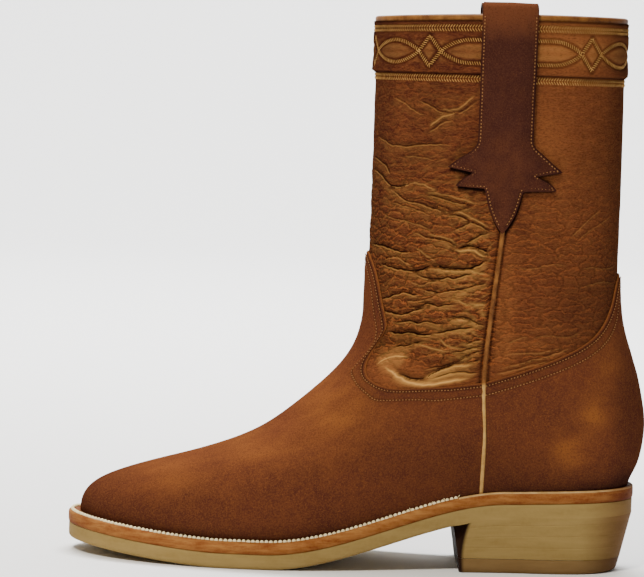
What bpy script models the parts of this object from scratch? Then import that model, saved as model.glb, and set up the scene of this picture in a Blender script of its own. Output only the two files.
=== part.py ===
"""Left roper boot: a pull-on boot with a rough-out foot, a smooth leather shaft and a stacked heel.

Metres, +Z up, toe towards -X, lateral (outer) side towards -Y.
The origin is on the floor under the middle of the heel.
"""

import math

import bmesh
import bpy
import numpy as np

# Room between pieces that touch
GAP = 0.0003
LAID_GAP = 0.0005

# Foot of the upper, along the feather line where it meets the sole
FOOT_LENGTH = 0.2888
BALL_WIDTH = 0.094
WAIST_WIDTH = 0.069
HEEL_WIDTH = 0.065
HEEL_BACK = 0.0472
COUNTER_BULGE = 0.0155
TOE_SWING = 0.008
BALL_SKEW = 0.035
WAIST_SKEW = 0.11

# Shaft of the upper
SHAFT_DEPTH = 0.134
SHAFT_WIDTH = 0.088
SHAFT_HEIGHT = 0.251
FRONT_DROP = 0.003
SCALLOP = 0.0015
UPPER_WALL = 0.0022

# Overlays on the upper
VAMP_LEATHER = 0.0012
BAND_LEATHER = 0.001
BAND_DEPTH = 0.0311
BINDING_LEATHER = 0.0011
BINDING_DEPTH = 0.0032
PIPING_RADIUS = 0.0013
SEAM_SPLIT = math.radians(0.15)

# Sole and heel
OUTSOLE = 0.008
OUTSOLE_BEVEL = 0.0018
MIDSOLE = 0.003
WELT = 0.003
INSOLE = 0.0025
TOE_SPRING = 0.007
HEEL_HEIGHT = 0.029
SEAT_PITCH = 0.0023
TOP_LIFT = 0.0078
LIFT_BEVEL = 0.0012
HEEL_INSET = 0.0012
BACK_TAPER = 0.0075
BREAST_TAPER = 0.004
SIDE_TAPER = 0.0028
CORNER_CUT_TOP = 0.0075
CORNER_CUT_LOW = 0.001

# Pull straps
STRAP_LENGTH = 0.1135
STRAP_WIDTH = 0.0282
STRAP_LEATHER = 0.0024
STRAP_STAND = 0.0075
STRAP_INSIDE = 0.055
STRAP_AROUND = 0.519
MEDIAL_STRAP_BACK = 0.0024

# Places along the sole, as shares of the foot's length forward of the heel's back
BALL_FRONT = 0.752
BALL_BACK = 0.659
SEAT_FRONT = 0.212
BREAST = 0.318

# How many columns of faces go round half of the boot, which one is the side seam, and where the foot's rows lie
HALF_COLUMNS = 28
SEAM_COLUMN = 20
FOOT_ROWS = np.linspace(0.0, 1.0, 10) ** 1.35
SHAFT_ROWS = np.linspace(0.0, 1.0, 8) ** 2.1

# Where a section's breadths are given, as shares of its length from front to back
STATIONS = (0.0, 0.12, 0.33, 0.62, 0.86, 1.0)

# Sections of the foot, from the feather line up. Each is a closed outline from a front point to a back point.
# rise:  height of the back point, as a share of the shaft's height over the heel seat
# reach: how far the front point has moved from the shaft's front to the toe
# front: height of the front point, as a share of the way from the toe seat to the collar's front
# bulge: how far the back point stands out of the shaft's back, as a share of the counter's bulge
# tip to back: breadth at each station, as a share of half the ball, waist or heel width
FOOT_SECTIONS = (
    # rise, reach, front, bulge,  tip,  toe, ball, waist, heel, back
    (0.00, 1.000, 0.000, 0.484, 1.23, 1.19, 1.02, 1.00, 1.35, 1.91),
    (0.03, 1.004, 0.023, 0.620, 1.25, 1.22, 1.07, 1.06, 1.46, 2.00),
    (0.06, 0.986, 0.049, 0.840, 1.23, 1.23, 1.11, 1.10, 1.53, 2.03),
    (0.09, 0.927, 0.075, 0.965, 1.20, 1.21, 1.11, 1.13, 1.55, 2.03),
    (0.12, 0.806, 0.101, 1.000, 1.19, 1.17, 1.08, 1.15, 1.57, 1.99),
    (0.15, 0.650, 0.125, 0.990, 1.19, 1.13, 1.03, 1.16, 1.57, 1.90),
    (0.18, 0.500, 0.151, 0.948, 1.17, 1.06, 0.98, 1.15, 1.55, 1.78),
    (0.21, 0.378, 0.181, 0.868, 1.09, 1.01, 0.94, 1.13, 1.51, 1.66),
    (0.24, 0.273, 0.218, 0.760, 1.01, 0.96, 0.89, 1.12, 1.45, 1.54),
    (0.28, 0.154, 0.273, 0.560, 0.92, 0.90, 0.86, 1.11, 1.38, 1.43),
)

# Sections of the shaft, with the same columns. Their breadths are shares of half the shaft's width.
SHAFT_SECTIONS = (
    # rise, reach, front, bulge,  tip,  toe, ball, waist, heel, back
    (0.32, 0.064, 0.327, 0.335, 0.92, 0.92, 0.91, 0.88, 0.98, 0.98),
    (0.36, 0.013, 0.380, 0.120, 0.90, 0.90, 0.91, 0.89, 0.93, 0.93),
    (0.40, -0.001, 0.434, 0.050, 0.89, 0.90, 0.92, 0.91, 0.92, 0.91),
    (0.46, -0.005, 0.508, 0.000, 0.90, 0.91, 0.92, 0.92, 0.91, 0.91),
    (0.52, -0.005, 0.575, 0.000, 0.91, 0.92, 0.93, 0.93, 0.92, 0.92),
    (0.68, -0.007, 0.723, 0.000, 0.95, 0.95, 0.95, 0.95, 0.95, 0.95),
    (0.84, -0.007, 0.864, -0.030, 0.98, 0.98, 0.98, 0.98, 0.98, 0.98),
    (1.00, -0.009, 1.000, -0.075, 1.00, 1.00, 1.00, 1.00, 1.00, 1.00),
)

# How far the sole's edge stands out from the feather line, as shares of the reach at the toe
SOLE_REACH = 0.0082
SOLE_REACH_SHARES = (1.0, 0.97, 0.92, 0.66, 0.56, 0.63)

# The top edge of vamp and counter, from the front of the boot round to the back.
# column: share of the columns of half the boot; low, high: degrees round the boot from its front, of the column
# on the feather line and of the topline over it; rise: as above
FOOT_TOPLINE = (
    # column, low, high, rise
    (0.000, 0.0, 0.0, 0.492),
    (0.036, 4.5, 7.5, 0.488),
    (0.071, 9.0, 14.0, 0.467),
    (0.107, 13.5, 19.5, 0.443),
    (0.143, 18.0, 24.3, 0.413),
    (0.179, 21.5, 28.4, 0.380),
    (0.214, 25.0, 30.9, 0.353),
    (0.250, 28.7, 33.0, 0.326),
    (0.286, 33.0, 37.0, 0.306),
    (0.321, 38.0, 42.5, 0.293),
    (0.357, 44.0, 49.0, 0.284),
    (0.393, 50.5, 55.5, 0.279),
    (0.429, 57.5, 61.5, 0.276),
    (0.500, 71.5, 72.0, 0.273),
    (0.571, 86.0, 80.5, 0.273),
    (0.643, 101.5, 87.0, 0.2745),
    (0.714, 117.6, 92.4, 0.277),
    (0.786, 133.0, 112.0, 0.293),
    (0.857, 148.5, 132.5, 0.326),
    (0.893, 156.0, 143.5, 0.354),
    (0.929, 164.0, 153.0, 0.397),
    (0.964, 172.0, 162.5, 0.449),
    (1.000, 180.0, 180.0, 0.473),
)

# The side seam's way up the boot: rise, and how far it lies behind the shaft's front, as a share of the shaft's depth
SIDE_SEAM = (
    # rise, around
    (0.00, 0.476),
    (0.10, 0.479),
    (0.20, 0.476),
    (0.28, 0.472),
    (0.36, 0.483),
    (0.46, 0.505),
    (0.54, 0.521),
)

# Outline of the strap's sewn-down part: share of its length down from the collar, and share of half its width
STRAP_OUTLINE = (
    # down, breadth
    (0.090, 1.00),
    (0.180, 1.00),
    (0.262, 1.00),
    (0.305, 1.00),
    (0.400, 1.00),
    (0.490, 1.00),
    (0.580, 1.00),
    (0.606, 1.12),
    (0.634, 1.40),
    (0.670, 1.79),
    (0.700, 2.07),
    (0.722, 1.18),
    (0.751, 1.56),
    (0.787, 1.80),
    (0.795, 0.70),
    (0.855, 0.58),
    (0.931, 0.37),
    (0.995, 0.05),
)
STRAP_COLUMNS = 6

COLLECTION = "roper_boot"


def smooth_step(t):
    """0 below 0, 1 above 1, and a smooth rise between them."""
    t = np.clip(t, 0.0, 1.0)
    return t * t * (3.0 - 2.0 * t)


def spline_weights(knots, t):
    """Weights of the knots' values in a natural cubic spline at t, one row of weights for each t."""
    knots, t = np.asarray(knots, float), np.asarray(t, float)
    count, step = len(knots), np.diff(knots)
    left, right = np.eye(count), np.zeros((count, count))
    for i in range(1, count - 1):
        left[i, i - 1 : i + 2] = step[i - 1], 2.0 * (step[i - 1] + step[i]), step[i]
        right[i, i - 1] = 6.0 / step[i - 1]
        right[i, i] = -6.0 / step[i - 1] - 6.0 / step[i]
        right[i, i + 1] = 6.0 / step[i]
    bend, value = np.linalg.solve(left, right), np.eye(count)
    k = np.clip(np.searchsorted(knots, t, side="right") - 1, 0, count - 2)
    width = step[k][..., None]
    b = (t - knots[k])[..., None] / width
    a = 1.0 - b
    curved = ((a**3 - a) * bend[k] + (b**3 - b) * bend[k + 1]) * width**2 / 6.0
    return a * value[k] + b * value[k + 1] + curved


def spline(table, t):
    """Every column of a table but its first, read at t by a smooth curve through the table's rows."""
    table = np.array(table)
    return spline_weights(table[:, 0], t) @ table[:, 1:]


def section_table():
    """All sections, from the feather line to the collar, with their breadths in metres."""
    foot, shaft = np.array(FOOT_SECTIONS), np.array(SHAFT_SECTIONS)
    foot[:, 4:] *= np.array([BALL_WIDTH] * 3 + [WAIST_WIDTH] + [HEEL_WIDTH] * 2) / 2.0
    shaft[:, 4:] *= SHAFT_WIDTH / 2.0
    return np.vstack([foot, shaft])


SECTIONS = section_table()
COLUMN_SHARES = [row[0] for row in FOOT_TOPLINE]
TOE_X = HEEL_BACK - FOOT_LENGTH
SHAFT_BACK_X = HEEL_BACK - SECTIONS[0, 3] * COUNTER_BULGE
SHAFT_FRONT_X = SHAFT_BACK_X - SHAFT_DEPTH
STRAP_X = SHAFT_FRONT_X + STRAP_AROUND * SHAFT_DEPTH


def along_foot(share):
    """x of a place that lies this share of the foot's length forward of the heel's back."""
    return HEEL_BACK - share * FOOT_LENGTH


def sole_bottom(x):
    """Height of the outsole's underside over the floor: toe spring, flat ball, waist and heel seat."""
    toe_run = along_foot(BALL_FRONT) - (TOE_X - SOLE_REACH)
    toe = np.clip((along_foot(BALL_FRONT) - x) / toe_run, 0.0, None)
    waist = smooth_step((x - along_foot(BALL_BACK)) / (along_foot(SEAT_FRONT) - along_foot(BALL_BACK)))
    seat = np.clip((x - along_foot(SEAT_FRONT)) / (HEEL_BACK - along_foot(SEAT_FRONT)), 0.0, None)
    return TOE_SPRING * toe**1.3 + HEEL_HEIGHT * waist + SEAT_PITCH * seat


def seat_height(x):
    """Height on which the upper and the insole stand: the midsole's top and a gap."""
    return sole_bottom(x) + OUTSOLE + GAP + MIDSOLE + GAP


COLLAR_Z = float(seat_height(HEEL_BACK)) + SHAFT_HEIGHT


def section_ends(rise):
    """x of a section's front point and of its back point."""
    row = spline(SECTIONS, rise)
    front_x = SHAFT_FRONT_X - row[..., 0] * (SHAFT_FRONT_X - TOE_X)
    return front_x, SHAFT_BACK_X + row[..., 2] * COUNTER_BULGE


def shape(angle, rise):
    """Points of the upper's outer face. angle is 0 at the front and pi at the back, negative on the medial side."""
    angle, rise = np.broadcast_arrays(np.asarray(angle, float), np.asarray(rise, float))
    row = spline(SECTIONS, rise)
    front, breadths = row[..., 1], row[..., 3:]
    share = (1.0 - np.cos(angle)) / 2.0
    front_x, back_x = section_ends(rise)
    toe_seat, heel_seat = seat_height(TOE_X), seat_height(HEEL_BACK)
    front_z = toe_seat + front * (COLLAR_Z - FRONT_DROP - toe_seat)
    back_z = heel_seat + rise * SHAFT_HEIGHT
    x = front_x + share * (back_x - front_x)
    bow = seat_height(x) - (1.0 - share) * seat_height(front_x) - share * seat_height(back_x)
    z = front_z + share * (back_z - front_z) + (1.0 - smooth_step(rise / 0.3)) * bow
    z = z + SCALLOP * np.sin(angle) ** 2 * np.clip(rise, 0.0, None) ** 6
    side, foot = np.sign(np.sin(angle)), 1.0 - smooth_step(rise / 0.45)
    station = share - side * BALL_SKEW * foot * 4.0 * share * (1.0 - share)
    breadth = (spline_weights(STATIONS, station) * breadths).sum(-1)
    breadth = breadth * (1.0 + side * WAIST_SKEW * foot * np.exp(-(((share - 0.62) / 0.14) ** 2)))
    middle = TOE_SWING * ((HEEL_BACK - x) / FOOT_LENGTH) ** 2
    return np.stack([x, middle - np.sin(angle) * breadth, z], axis=-1)


def normal(angle, rise):
    """Outward unit normal of the upper's outer face."""
    step = 1e-4
    around = shape(angle + step, rise) - shape(angle - step, rise)
    up = shape(angle, rise + step) - shape(angle, rise - step)
    out = np.cross(around, up)
    return out / np.linalg.norm(out, axis=-1, keepdims=True)


def skin(angle, rise, out=0.0):
    """Points that lie out metres off the upper's outer face."""
    return shape(angle, rise) + np.asarray(out)[..., None] * normal(angle, rise)


def rise_where(test, low=0.0, high=1.0):
    """The rise at which test(rise) turns from negative to positive, found by halving."""
    low, high = np.asarray(low, float), np.asarray(high, float)
    for _ in range(40):
        middle = (low + high) / 2.0
        below = test(middle) < 0.0
        low, high = np.where(below, middle, low), np.where(below, high, middle)
    return (low + high) / 2.0


def angle_of(around):
    """Angle of a place that lies this share of the way from a section's front point to its back point."""
    return np.arccos(np.clip(1.0 - 2.0 * np.asarray(around, float), -1.0, 1.0))


def side_place(side, x, z):
    """Angle and rise of the place on one side of the shaft that has this x and z."""
    x, z = np.broadcast_arrays(np.asarray(x, float), np.asarray(z, float))

    def angle_at(rise):
        front_x, back_x = section_ends(rise)
        return side * angle_of((x - front_x) / (back_x - front_x))

    rise = rise_where(lambda r: shape(angle_at(r), r)[..., 2] - z, np.zeros_like(z), np.ones_like(z))
    return angle_at(rise), rise


def turn_of_columns():
    """The columns once round the boot as shares of half a turn, from the front by the lateral side."""
    columns = np.arange(2 * HALF_COLUMNS)
    return np.where(columns <= HALF_COLUMNS, columns, columns - 2 * HALF_COLUMNS) / HALF_COLUMNS


def seam_angle(rise):
    """Angle of the side seam at this rise."""
    front_x, back_x = section_ends(rise)
    seam_x = SHAFT_FRONT_X + spline(SIDE_SEAM, rise)[..., 0] * SHAFT_DEPTH
    return angle_of((seam_x - front_x) / (back_x - front_x))


def strap_x(side):
    """x of the middle of the strap on one side. The medial strap sits a little further back."""
    return STRAP_X if side > 0 else STRAP_X + MEDIAL_STRAP_BACK


def topline(column):
    """The feather line's angle, and the topline's angle and rise, at this share of half the boot's columns."""
    low, high, rise = (np.interp(column, COLUMN_SHARES, values) for values in zip(*(r[1:] for r in FOOT_TOPLINE)))
    return np.radians(low), np.radians(high), rise


def foot_place(column, row):
    """Angle and rise in the foot. column runs -1 to 1 round the boot, row 0 to 1 from feather line to topline."""
    side, share = np.sign(column), np.abs(column)
    low, high, rise = topline(share)
    seam = SEAM_COLUMN / HALF_COLUMNS
    seam_low, seam_high, seam_rise = topline(seam)
    tent = np.where(share < seam, share / seam, (1.0 - share) / (1.0 - seam))
    bend = seam_angle(row * seam_rise) - (1.0 - row) * seam_low - row * seam_high
    return side * ((1.0 - row) * low + row * high + tent * bend), row * rise


def shaft_place(column, row):
    """Angle and rise in the shaft. row runs 0 to 1 from the topline to the collar band's lower edge."""
    side, share = np.sign(column), np.abs(column)
    _, high, rise = topline(share)
    band_rise = 1.0 - (BAND_DEPTH + GAP) / SHAFT_HEIGHT
    return side * ((1.0 - row) * high + row * share * math.pi), rise + row * (band_rise - rise)


def linear(colour):
    """Linear RGBA of an sRGB colour given as 0 to 255."""
    return [((c / 255 + 0.055) / 1.055) ** 2.4 for c in colour] + [1.0]


def make_material(name, colour, roughness):
    """A plain material with an sRGB colour."""
    material = bpy.data.materials.new(name)
    material.use_nodes = True
    shader = material.node_tree.nodes["Principled BSDF"]
    shader.inputs["Base Color"].default_value = linear(colour)
    shader.inputs["Roughness"].default_value = roughness
    shader.inputs["Metallic"].default_value = 0.0
    return material


def add_object(name, bm, material):
    """Turns a bmesh into a smooth-shaded object of the boot."""
    bmesh.ops.recalc_face_normals(bm, faces=bm.faces)
    mesh = bpy.data.meshes.new(name)
    bm.to_mesh(mesh)
    bm.free()
    mesh.shade_smooth()
    mesh.set_sharp_from_angle(angle=math.radians(40))
    mesh.materials.append(material)
    thing = bpy.data.objects.new(name, mesh)
    bpy.data.collections[COLLECTION].objects.link(thing)
    return thing


def add_loops(bm, rings):
    """Vertices for each closed ring of points, as rows."""
    return [[bm.verts.new(point) for point in ring] for ring in rings]


def join_rings(bm, lower, upper):
    """Faces between two closed rings with the same number of points."""
    for i in range(len(lower)):
        j = (i + 1) % len(lower)
        bm.faces.new((lower[i], lower[j], upper[j], upper[i]))


def cap(bm, ring, start_shared):
    """Closes a ring with strips from one side to the other. start_shared: its first point lies on the middle line."""
    half = len(ring) // 2
    left = ring[: half + 1] if start_shared else ring[:half]
    right = [ring[-i % len(ring)] for i in range(half + 1)] if start_shared else ring[::-1][:half]
    for i in range(len(left) - 1):
        corners = list(dict.fromkeys((left[i], left[i + 1], right[i + 1], right[i])))
        bm.faces.new(corners)


def closed_loft(name, rings, material, start_shared=True):
    """A solid between a stack of closed rings, with its first and last ring closed."""
    bm = bmesh.new()
    loops = add_loops(bm, rings)
    for lower, upper in zip(loops, loops[1:]):
        join_rings(bm, lower, upper)
    cap(bm, loops[0], start_shared)
    cap(bm, loops[-1], start_shared)
    return add_object(name, bm, material)


def hoop(name, rings, material):
    """A solid ring whose section runs through the given closed rings and back to the first."""
    bm = bmesh.new()
    loops = add_loops(bm, rings)
    for i, loop in enumerate(loops):
        join_rings(bm, loop, loops[(i + 1) % len(loops)])
    return add_object(name, bm, material)


def shell(name, places, outer, inner, material, closed):
    """A wall between two distances off the upper's face. places: angle and rise of each row, from the lowest up.

    closed: the rows are rings. A row on the feather line is set down flat on the sole. Every face is split along
    its shorter diagonal on the upper's face, so that walls laid on each other keep their distance.
    """
    bm = bmesh.new()
    base = [skin(angle, rise) for angle, rise in places]
    faces = []
    for out in (outer, inner):
        rows = [skin(angle, rise, out) for angle, rise in places]
        if np.max(places[0][1]) == 0.0:
            rows[0][:, 2] = seat_height(rows[0][:, 0])
        faces.append(add_loops(bm, rows))
    front, back = faces
    columns = len(base[0]) if closed else len(base[0]) - 1
    for i in range(columns):
        j = (i + 1) % len(base[0])
        for row in range(len(base) - 1):
            rising = np.linalg.norm(base[row][i] - base[row + 1][j])
            falling = np.linalg.norm(base[row][j] - base[row + 1][i])
            for low, high in ((wall[row], wall[row + 1]) for wall in faces):
                if rising < falling:
                    bm.faces.new((low[i], low[j], high[j]))
                    bm.faces.new((low[i], high[j], high[i]))
                else:
                    bm.faces.new((low[i], low[j], high[i]))
                    bm.faces.new((low[j], high[j], high[i]))
        for row in (0, -1):
            bm.faces.new((front[row][i], front[row][j], back[row][j], back[row][i]))
    if not closed:
        for i in (0, -1):
            for row in range(len(front) - 1):
                bm.faces.new((front[row][i], front[row + 1][i], back[row + 1][i], back[row][i]))
    return add_object(name, bm, material)


def feather_turn():
    """The columns' angles on the feather line, once round the boot."""
    return foot_place(turn_of_columns(), 0.0)[0]


def edge_outline(out, angle):
    """The sole's outline in plan, moved out by out metres: the feather line and the sole's reach beyond it."""
    step = 1e-4
    point = shape(angle, 0.0)
    along = shape(angle + step, 0.0) - shape(angle - step, 0.0)
    length = np.hypot(along[..., 0], along[..., 1])
    reach = spline_weights(STATIONS, (1.0 - np.cos(angle)) / 2.0) @ np.array(SOLE_REACH_SHARES) * SOLE_REACH + out
    x = point[..., 0] + reach * along[..., 1] / length
    y = point[..., 1] - reach * along[..., 0] / length
    return np.stack([x, y], axis=-1)


def sole_ring(out, height):
    """The sole's outline moved out, at this height over the outsole's underside."""
    plan = edge_outline(out, feather_turn())
    return [(x, y, float(sole_bottom(x)) + height) for x, y in plan]


def make_outsole(material):
    """Full-length outsole with a rounded lower edge, flat at the ball and hollow under the waist."""
    rings = [
        sole_ring(-OUTSOLE_BEVEL, 0.0),
        sole_ring(-0.3 * OUTSOLE_BEVEL, 0.4 * OUTSOLE_BEVEL),
        sole_ring(0.0, 1.4 * OUTSOLE_BEVEL),
        sole_ring(0.0, OUTSOLE),
    ]
    return closed_loft("outsole", rings, material)


def make_midsole(material):
    """Leather midsole between outsole and welt."""
    low = OUTSOLE + GAP
    rings = [sole_ring(-0.0003, low), sole_ring(0.0003, low + 0.3 * MIDSOLE), sole_ring(0.0003, low + MIDSOLE)]
    return closed_loft("midsole", rings, material)


def foot_ring(height, out):
    """A ring off the upper's face at this height over the seat."""
    angle = feather_turn()

    def over_seat(rise):
        point = shape(angle, rise)
        return point[:, 2] - seat_height(point[:, 0]) - height

    ring = skin(angle, rise_where(over_seat, np.zeros(len(angle)), np.full(len(angle), 0.2)), out)
    ring[:, 2] = seat_height(ring[:, 0]) + height
    return ring


def make_welt(material):
    """Welt all round, from the foot of the vamp out to the sole's edge."""
    low = OUTSOLE + GAP + MIDSOLE + GAP
    out = LAID_GAP + VAMP_LEATHER + LAID_GAP
    inner_low, inner_high = foot_ring(0.0, out), foot_ring(WELT, out)
    rings = [sole_ring(0.0003, low), sole_ring(0.0003, low + 0.7 * WELT), sole_ring(-0.0004, low + WELT)]
    return hoop("welt", rings + [inner_high, inner_low], material)


def make_insole(material):
    """Insole inside the upper, on the midsole."""
    outline = skin(feather_turn(), 0.0, -(UPPER_WALL + LAID_GAP + GAP))
    low = [(x, y, float(seat_height(x))) for x, y, _ in outline]
    return closed_loft("insole", [low, [(x, y, z + INSOLE) for x, y, z in low]], material)


def heel_outline(drop):
    """Outline of the heel in plan. drop runs from 0 at the outsole to 1 at the floor."""
    cut = CORNER_CUT_LOW + (CORNER_CUT_TOP - CORNER_CUT_LOW) * (1.0 - drop) ** 2
    breast = along_foot(BREAST)
    start = float(angle_of((breast + cut - TOE_X) / FOOT_LENGTH))
    turn = np.linspace(start, 2.0 * math.pi - start, 22)
    wall = edge_outline(-HEEL_INSET, np.where(turn > math.pi, turn - 2.0 * math.pi, turn))
    corner = np.radians([0.0, 35.0, 65.0])
    inward = cut * (1.0 - np.sin(corner))
    forward = cut * np.cos(corner)
    lateral = np.stack([wall[0, 0] - forward, wall[0, 1] + inward], axis=-1)
    medial = np.stack([wall[-1, 0] - forward, wall[-1, 1] - inward], axis=-1)
    plan = np.vstack([lateral, wall, medial[::-1]])
    back = plan[:, 0].max()
    share = np.clip((plan[:, 0] - breast) / (back - breast), 0.0, 1.0)
    plan[:, 0] += drop * (BREAST_TAPER * (1.0 - share) - BACK_TAPER * share)
    plan[:, 1] *= 1.0 - drop * SIDE_TAPER / (HEEL_WIDTH / 2.0)
    return plan


def outsole_underside(x):
    """Height of the outsole's underside as its faces run, straight from column to column."""
    plan = edge_outline(-OUTSOLE_BEVEL, feather_turn())[: HALF_COLUMNS + 1]
    return np.interp(x, plan[:, 0], sole_bottom(plan[:, 0]))


def make_heel_block(material):
    """Stacked heel between the outsole and the top lift, tapered at the back and scooped at the breast's corners."""
    floor_drop = 1.0 - TOP_LIFT / HEEL_HEIGHT
    rings = []
    for share in (0.0, 0.25, 0.55, 1.0):
        plan = heel_outline(share * floor_drop)
        top = outsole_underside(plan[:, 0]) - GAP
        z = (1.0 - share) * top + share * (TOP_LIFT + GAP)
        rings.append(np.column_stack([plan, z]))
    return closed_loft("heel_block", rings, material, start_shared=False)


def make_top_lift(material):
    """Hard-wearing lift that the heel stands on."""
    rings = []
    for height, inset in ((TOP_LIFT, 0.0), (LIFT_BEVEL, 0.0), (0.0, LIFT_BEVEL)):
        plan = heel_outline(1.0 - height / HEEL_HEIGHT)
        middle = plan.mean(axis=0)
        away = plan - middle
        plan = middle + away * (1.0 - inset / np.linalg.norm(away, axis=1, keepdims=True))
        rings.append(np.column_stack([plan, np.full(len(plan), height)]))
    return closed_loft("top_lift", rings, material, start_shared=False)


def make_upper(material):
    """The one hollow shell of the boot, open at the collar and underneath."""
    columns, angle = turn_of_columns(), turn_of_columns() * math.pi
    places = [foot_place(columns, row) for row in FOOT_ROWS]
    places += [shaft_place(columns, row) for row in SHAFT_ROWS[1:]]
    places += [(angle, 1.0 - 0.5 * BAND_DEPTH / SHAFT_HEIGHT), (angle, 1.0)]
    return shell("upper", places, 0.0, -UPPER_WALL, material, closed=True)


def overlay(name, first, last, material):
    """Rough-out leather over the foot of the upper between two columns, just short of the side seams."""
    columns = np.arange(first, last + 1) / HALF_COLUMNS
    columns[0] += SEAM_SPLIT / math.pi
    columns[-1] -= SEAM_SPLIT / math.pi
    columns = np.where(columns > 1.0, columns - 2.0, columns)
    places = [foot_place(columns, row) for row in FOOT_ROWS]
    return shell(name, places, LAID_GAP + VAMP_LEATHER, LAID_GAP, material, closed=False)


def make_vamp(material):
    """Front of the foot, from side seam to side seam, with its tongue up the shin."""
    return overlay("vamp", -SEAM_COLUMN, SEAM_COLUMN, material)


def make_counter(material):
    """Back of the foot, from side seam to side seam."""
    return overlay("counter", SEAM_COLUMN, 2 * HALF_COLUMNS - SEAM_COLUMN, material)


def make_collar_band(material):
    """Band sewn round the top of the shaft."""
    low, high = 1.0 - BAND_DEPTH / SHAFT_HEIGHT, 1.0 - (BINDING_DEPTH + GAP) / SHAFT_HEIGHT
    places = [(turn_of_columns() * math.pi, rise) for rise in (low, high)]
    return shell("collar_band", places, GAP + BAND_LEATHER, GAP, material, closed=True)


def make_binding(material):
    """Folded binding over the collar's edge."""
    outer, inner = GAP + BINDING_LEATHER, -(UPPER_WALL + GAP + BINDING_LEATHER)
    section = (
        (GAP, -BINDING_DEPTH),
        (outer, -BINDING_DEPTH),
        (outer, 0.0),
        ((outer + inner) / 2.0, GAP + BINDING_LEATHER),
        (inner, 0.0),
        (inner, -BINDING_DEPTH),
        (inner + BINDING_LEATHER, -BINDING_DEPTH),
        (inner + BINDING_LEATHER, GAP),
        (GAP, GAP),
    )
    angle = turn_of_columns() * math.pi
    rings = [skin(angle, 1.0 + min(up, 0.0) / SHAFT_HEIGHT, out) + [0.0, 0.0, max(up, 0.0)] for out, up in section]
    return hoop("top_binding", rings, material)


def make_side_seam(name, side, material):
    """Round piping up the side seam, over the foot's leather and then over the shaft's."""
    start = (WELT + PIPING_RADIUS + LAID_GAP) / SHAFT_HEIGHT
    _, end = side_place(side, strap_x(side), COLLAR_Z - STRAP_LENGTH - LAID_GAP - PIPING_RADIUS)
    rise = np.linspace(start, float(end), 20)
    _, _, step_rise = topline(SEAM_COLUMN / HALF_COLUMNS)
    over_foot = 1.0 - smooth_step((rise - step_rise) / 0.02)
    out = PIPING_RADIUS + LAID_GAP + over_foot * (LAID_GAP + VAMP_LEATHER)
    lean = (strap_x(side) - STRAP_X) / (SHAFT_DEPTH / 2.0) * smooth_step((rise - step_rise) / (end - step_rise))
    points = skin(side * (seam_angle(rise) + lean), rise, out)
    curve = bpy.data.curves.new(name, "CURVE")
    curve.dimensions = "3D"
    curve.bevel_depth = PIPING_RADIUS
    curve.bevel_resolution = 1
    curve.use_fill_caps = True
    line = curve.splines.new("POLY")
    line.points.add(len(points) - 1)
    for point, place in zip(line.points, points):
        point.co = (*place, 1.0)
    curve.materials.append(material)
    thing = bpy.data.objects.new(name, curve)
    bpy.data.collections[COLLECTION].objects.link(thing)
    return thing


def strap_rows(side):
    """Rows of the strap's inner face: up the outside from its point, over the collar and down the inside."""
    across = np.linspace(-1.0, 1.0, STRAP_COLUMNS + 1) * STRAP_WIDTH / 2.0
    middle = strap_x(side)
    collar = float(shape(*side_place(side, middle, COLLAR_Z))[..., 2])
    on_band = GAP + max(BAND_LEATHER, BINDING_LEATHER) + LAID_GAP
    rows = []
    for down, breadth in reversed(STRAP_OUTLINE):
        z = COLLAR_Z - down * STRAP_LENGTH
        over_band = smooth_step((z - (COLLAR_Z - BAND_DEPTH - 0.006)) / 0.004)
        out = LAID_GAP + over_band * (on_band - LAID_GAP)
        rows.append(skin(*side_place(side, middle + across * breadth, z), out))
    angle, _ = side_place(side, middle + across, COLLAR_Z)
    inside = -(UPPER_WALL + GAP + BINDING_LEATHER + LAID_GAP)
    radius = (on_band - inside) / 2.0
    loop_z = collar + STRAP_STAND - STRAP_LEATHER - radius
    rim, away = shape(angle, 1.0), normal(angle, 1.0)
    away[..., 2] = 0.0
    for turn in np.radians(np.arange(0.0, 181.0, 30.0)):
        out = (on_band + inside) / 2.0 + radius * math.cos(turn)
        height = loop_z + radius * math.sin(turn)
        rows.append(np.column_stack([(rim + out * away)[:, :2], np.full(len(angle), height)]))
    for share in (0.2, 0.5, 1.0):
        rise = 1.0 - share * STRAP_INSIDE / SHAFT_HEIGHT
        rows.append(skin(angle, rise, inside))
    return rows


def make_pull_strap(name, side, material):
    """Pull strap: a loop over the collar whose outer end is cut to a leaf with five points."""
    bm = bmesh.new()
    rows = add_loops(bm, strap_rows(side))
    for low, high in zip(rows, rows[1:]):
        for i in range(STRAP_COLUMNS):
            bm.faces.new((low[i], low[i + 1], high[i + 1], high[i]))
    mesh = bpy.data.meshes.new(name)
    bm.to_mesh(mesh)
    bm.free()
    mesh.shade_smooth()
    mesh.materials.append(material)
    thing = bpy.data.objects.new(name, mesh)
    bpy.data.collections[COLLECTION].objects.link(thing)
    solidify = thing.modifiers.new("leather", "SOLIDIFY")
    solidify.thickness = STRAP_LEATHER
    solidify.offset = side
    return thing


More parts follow.
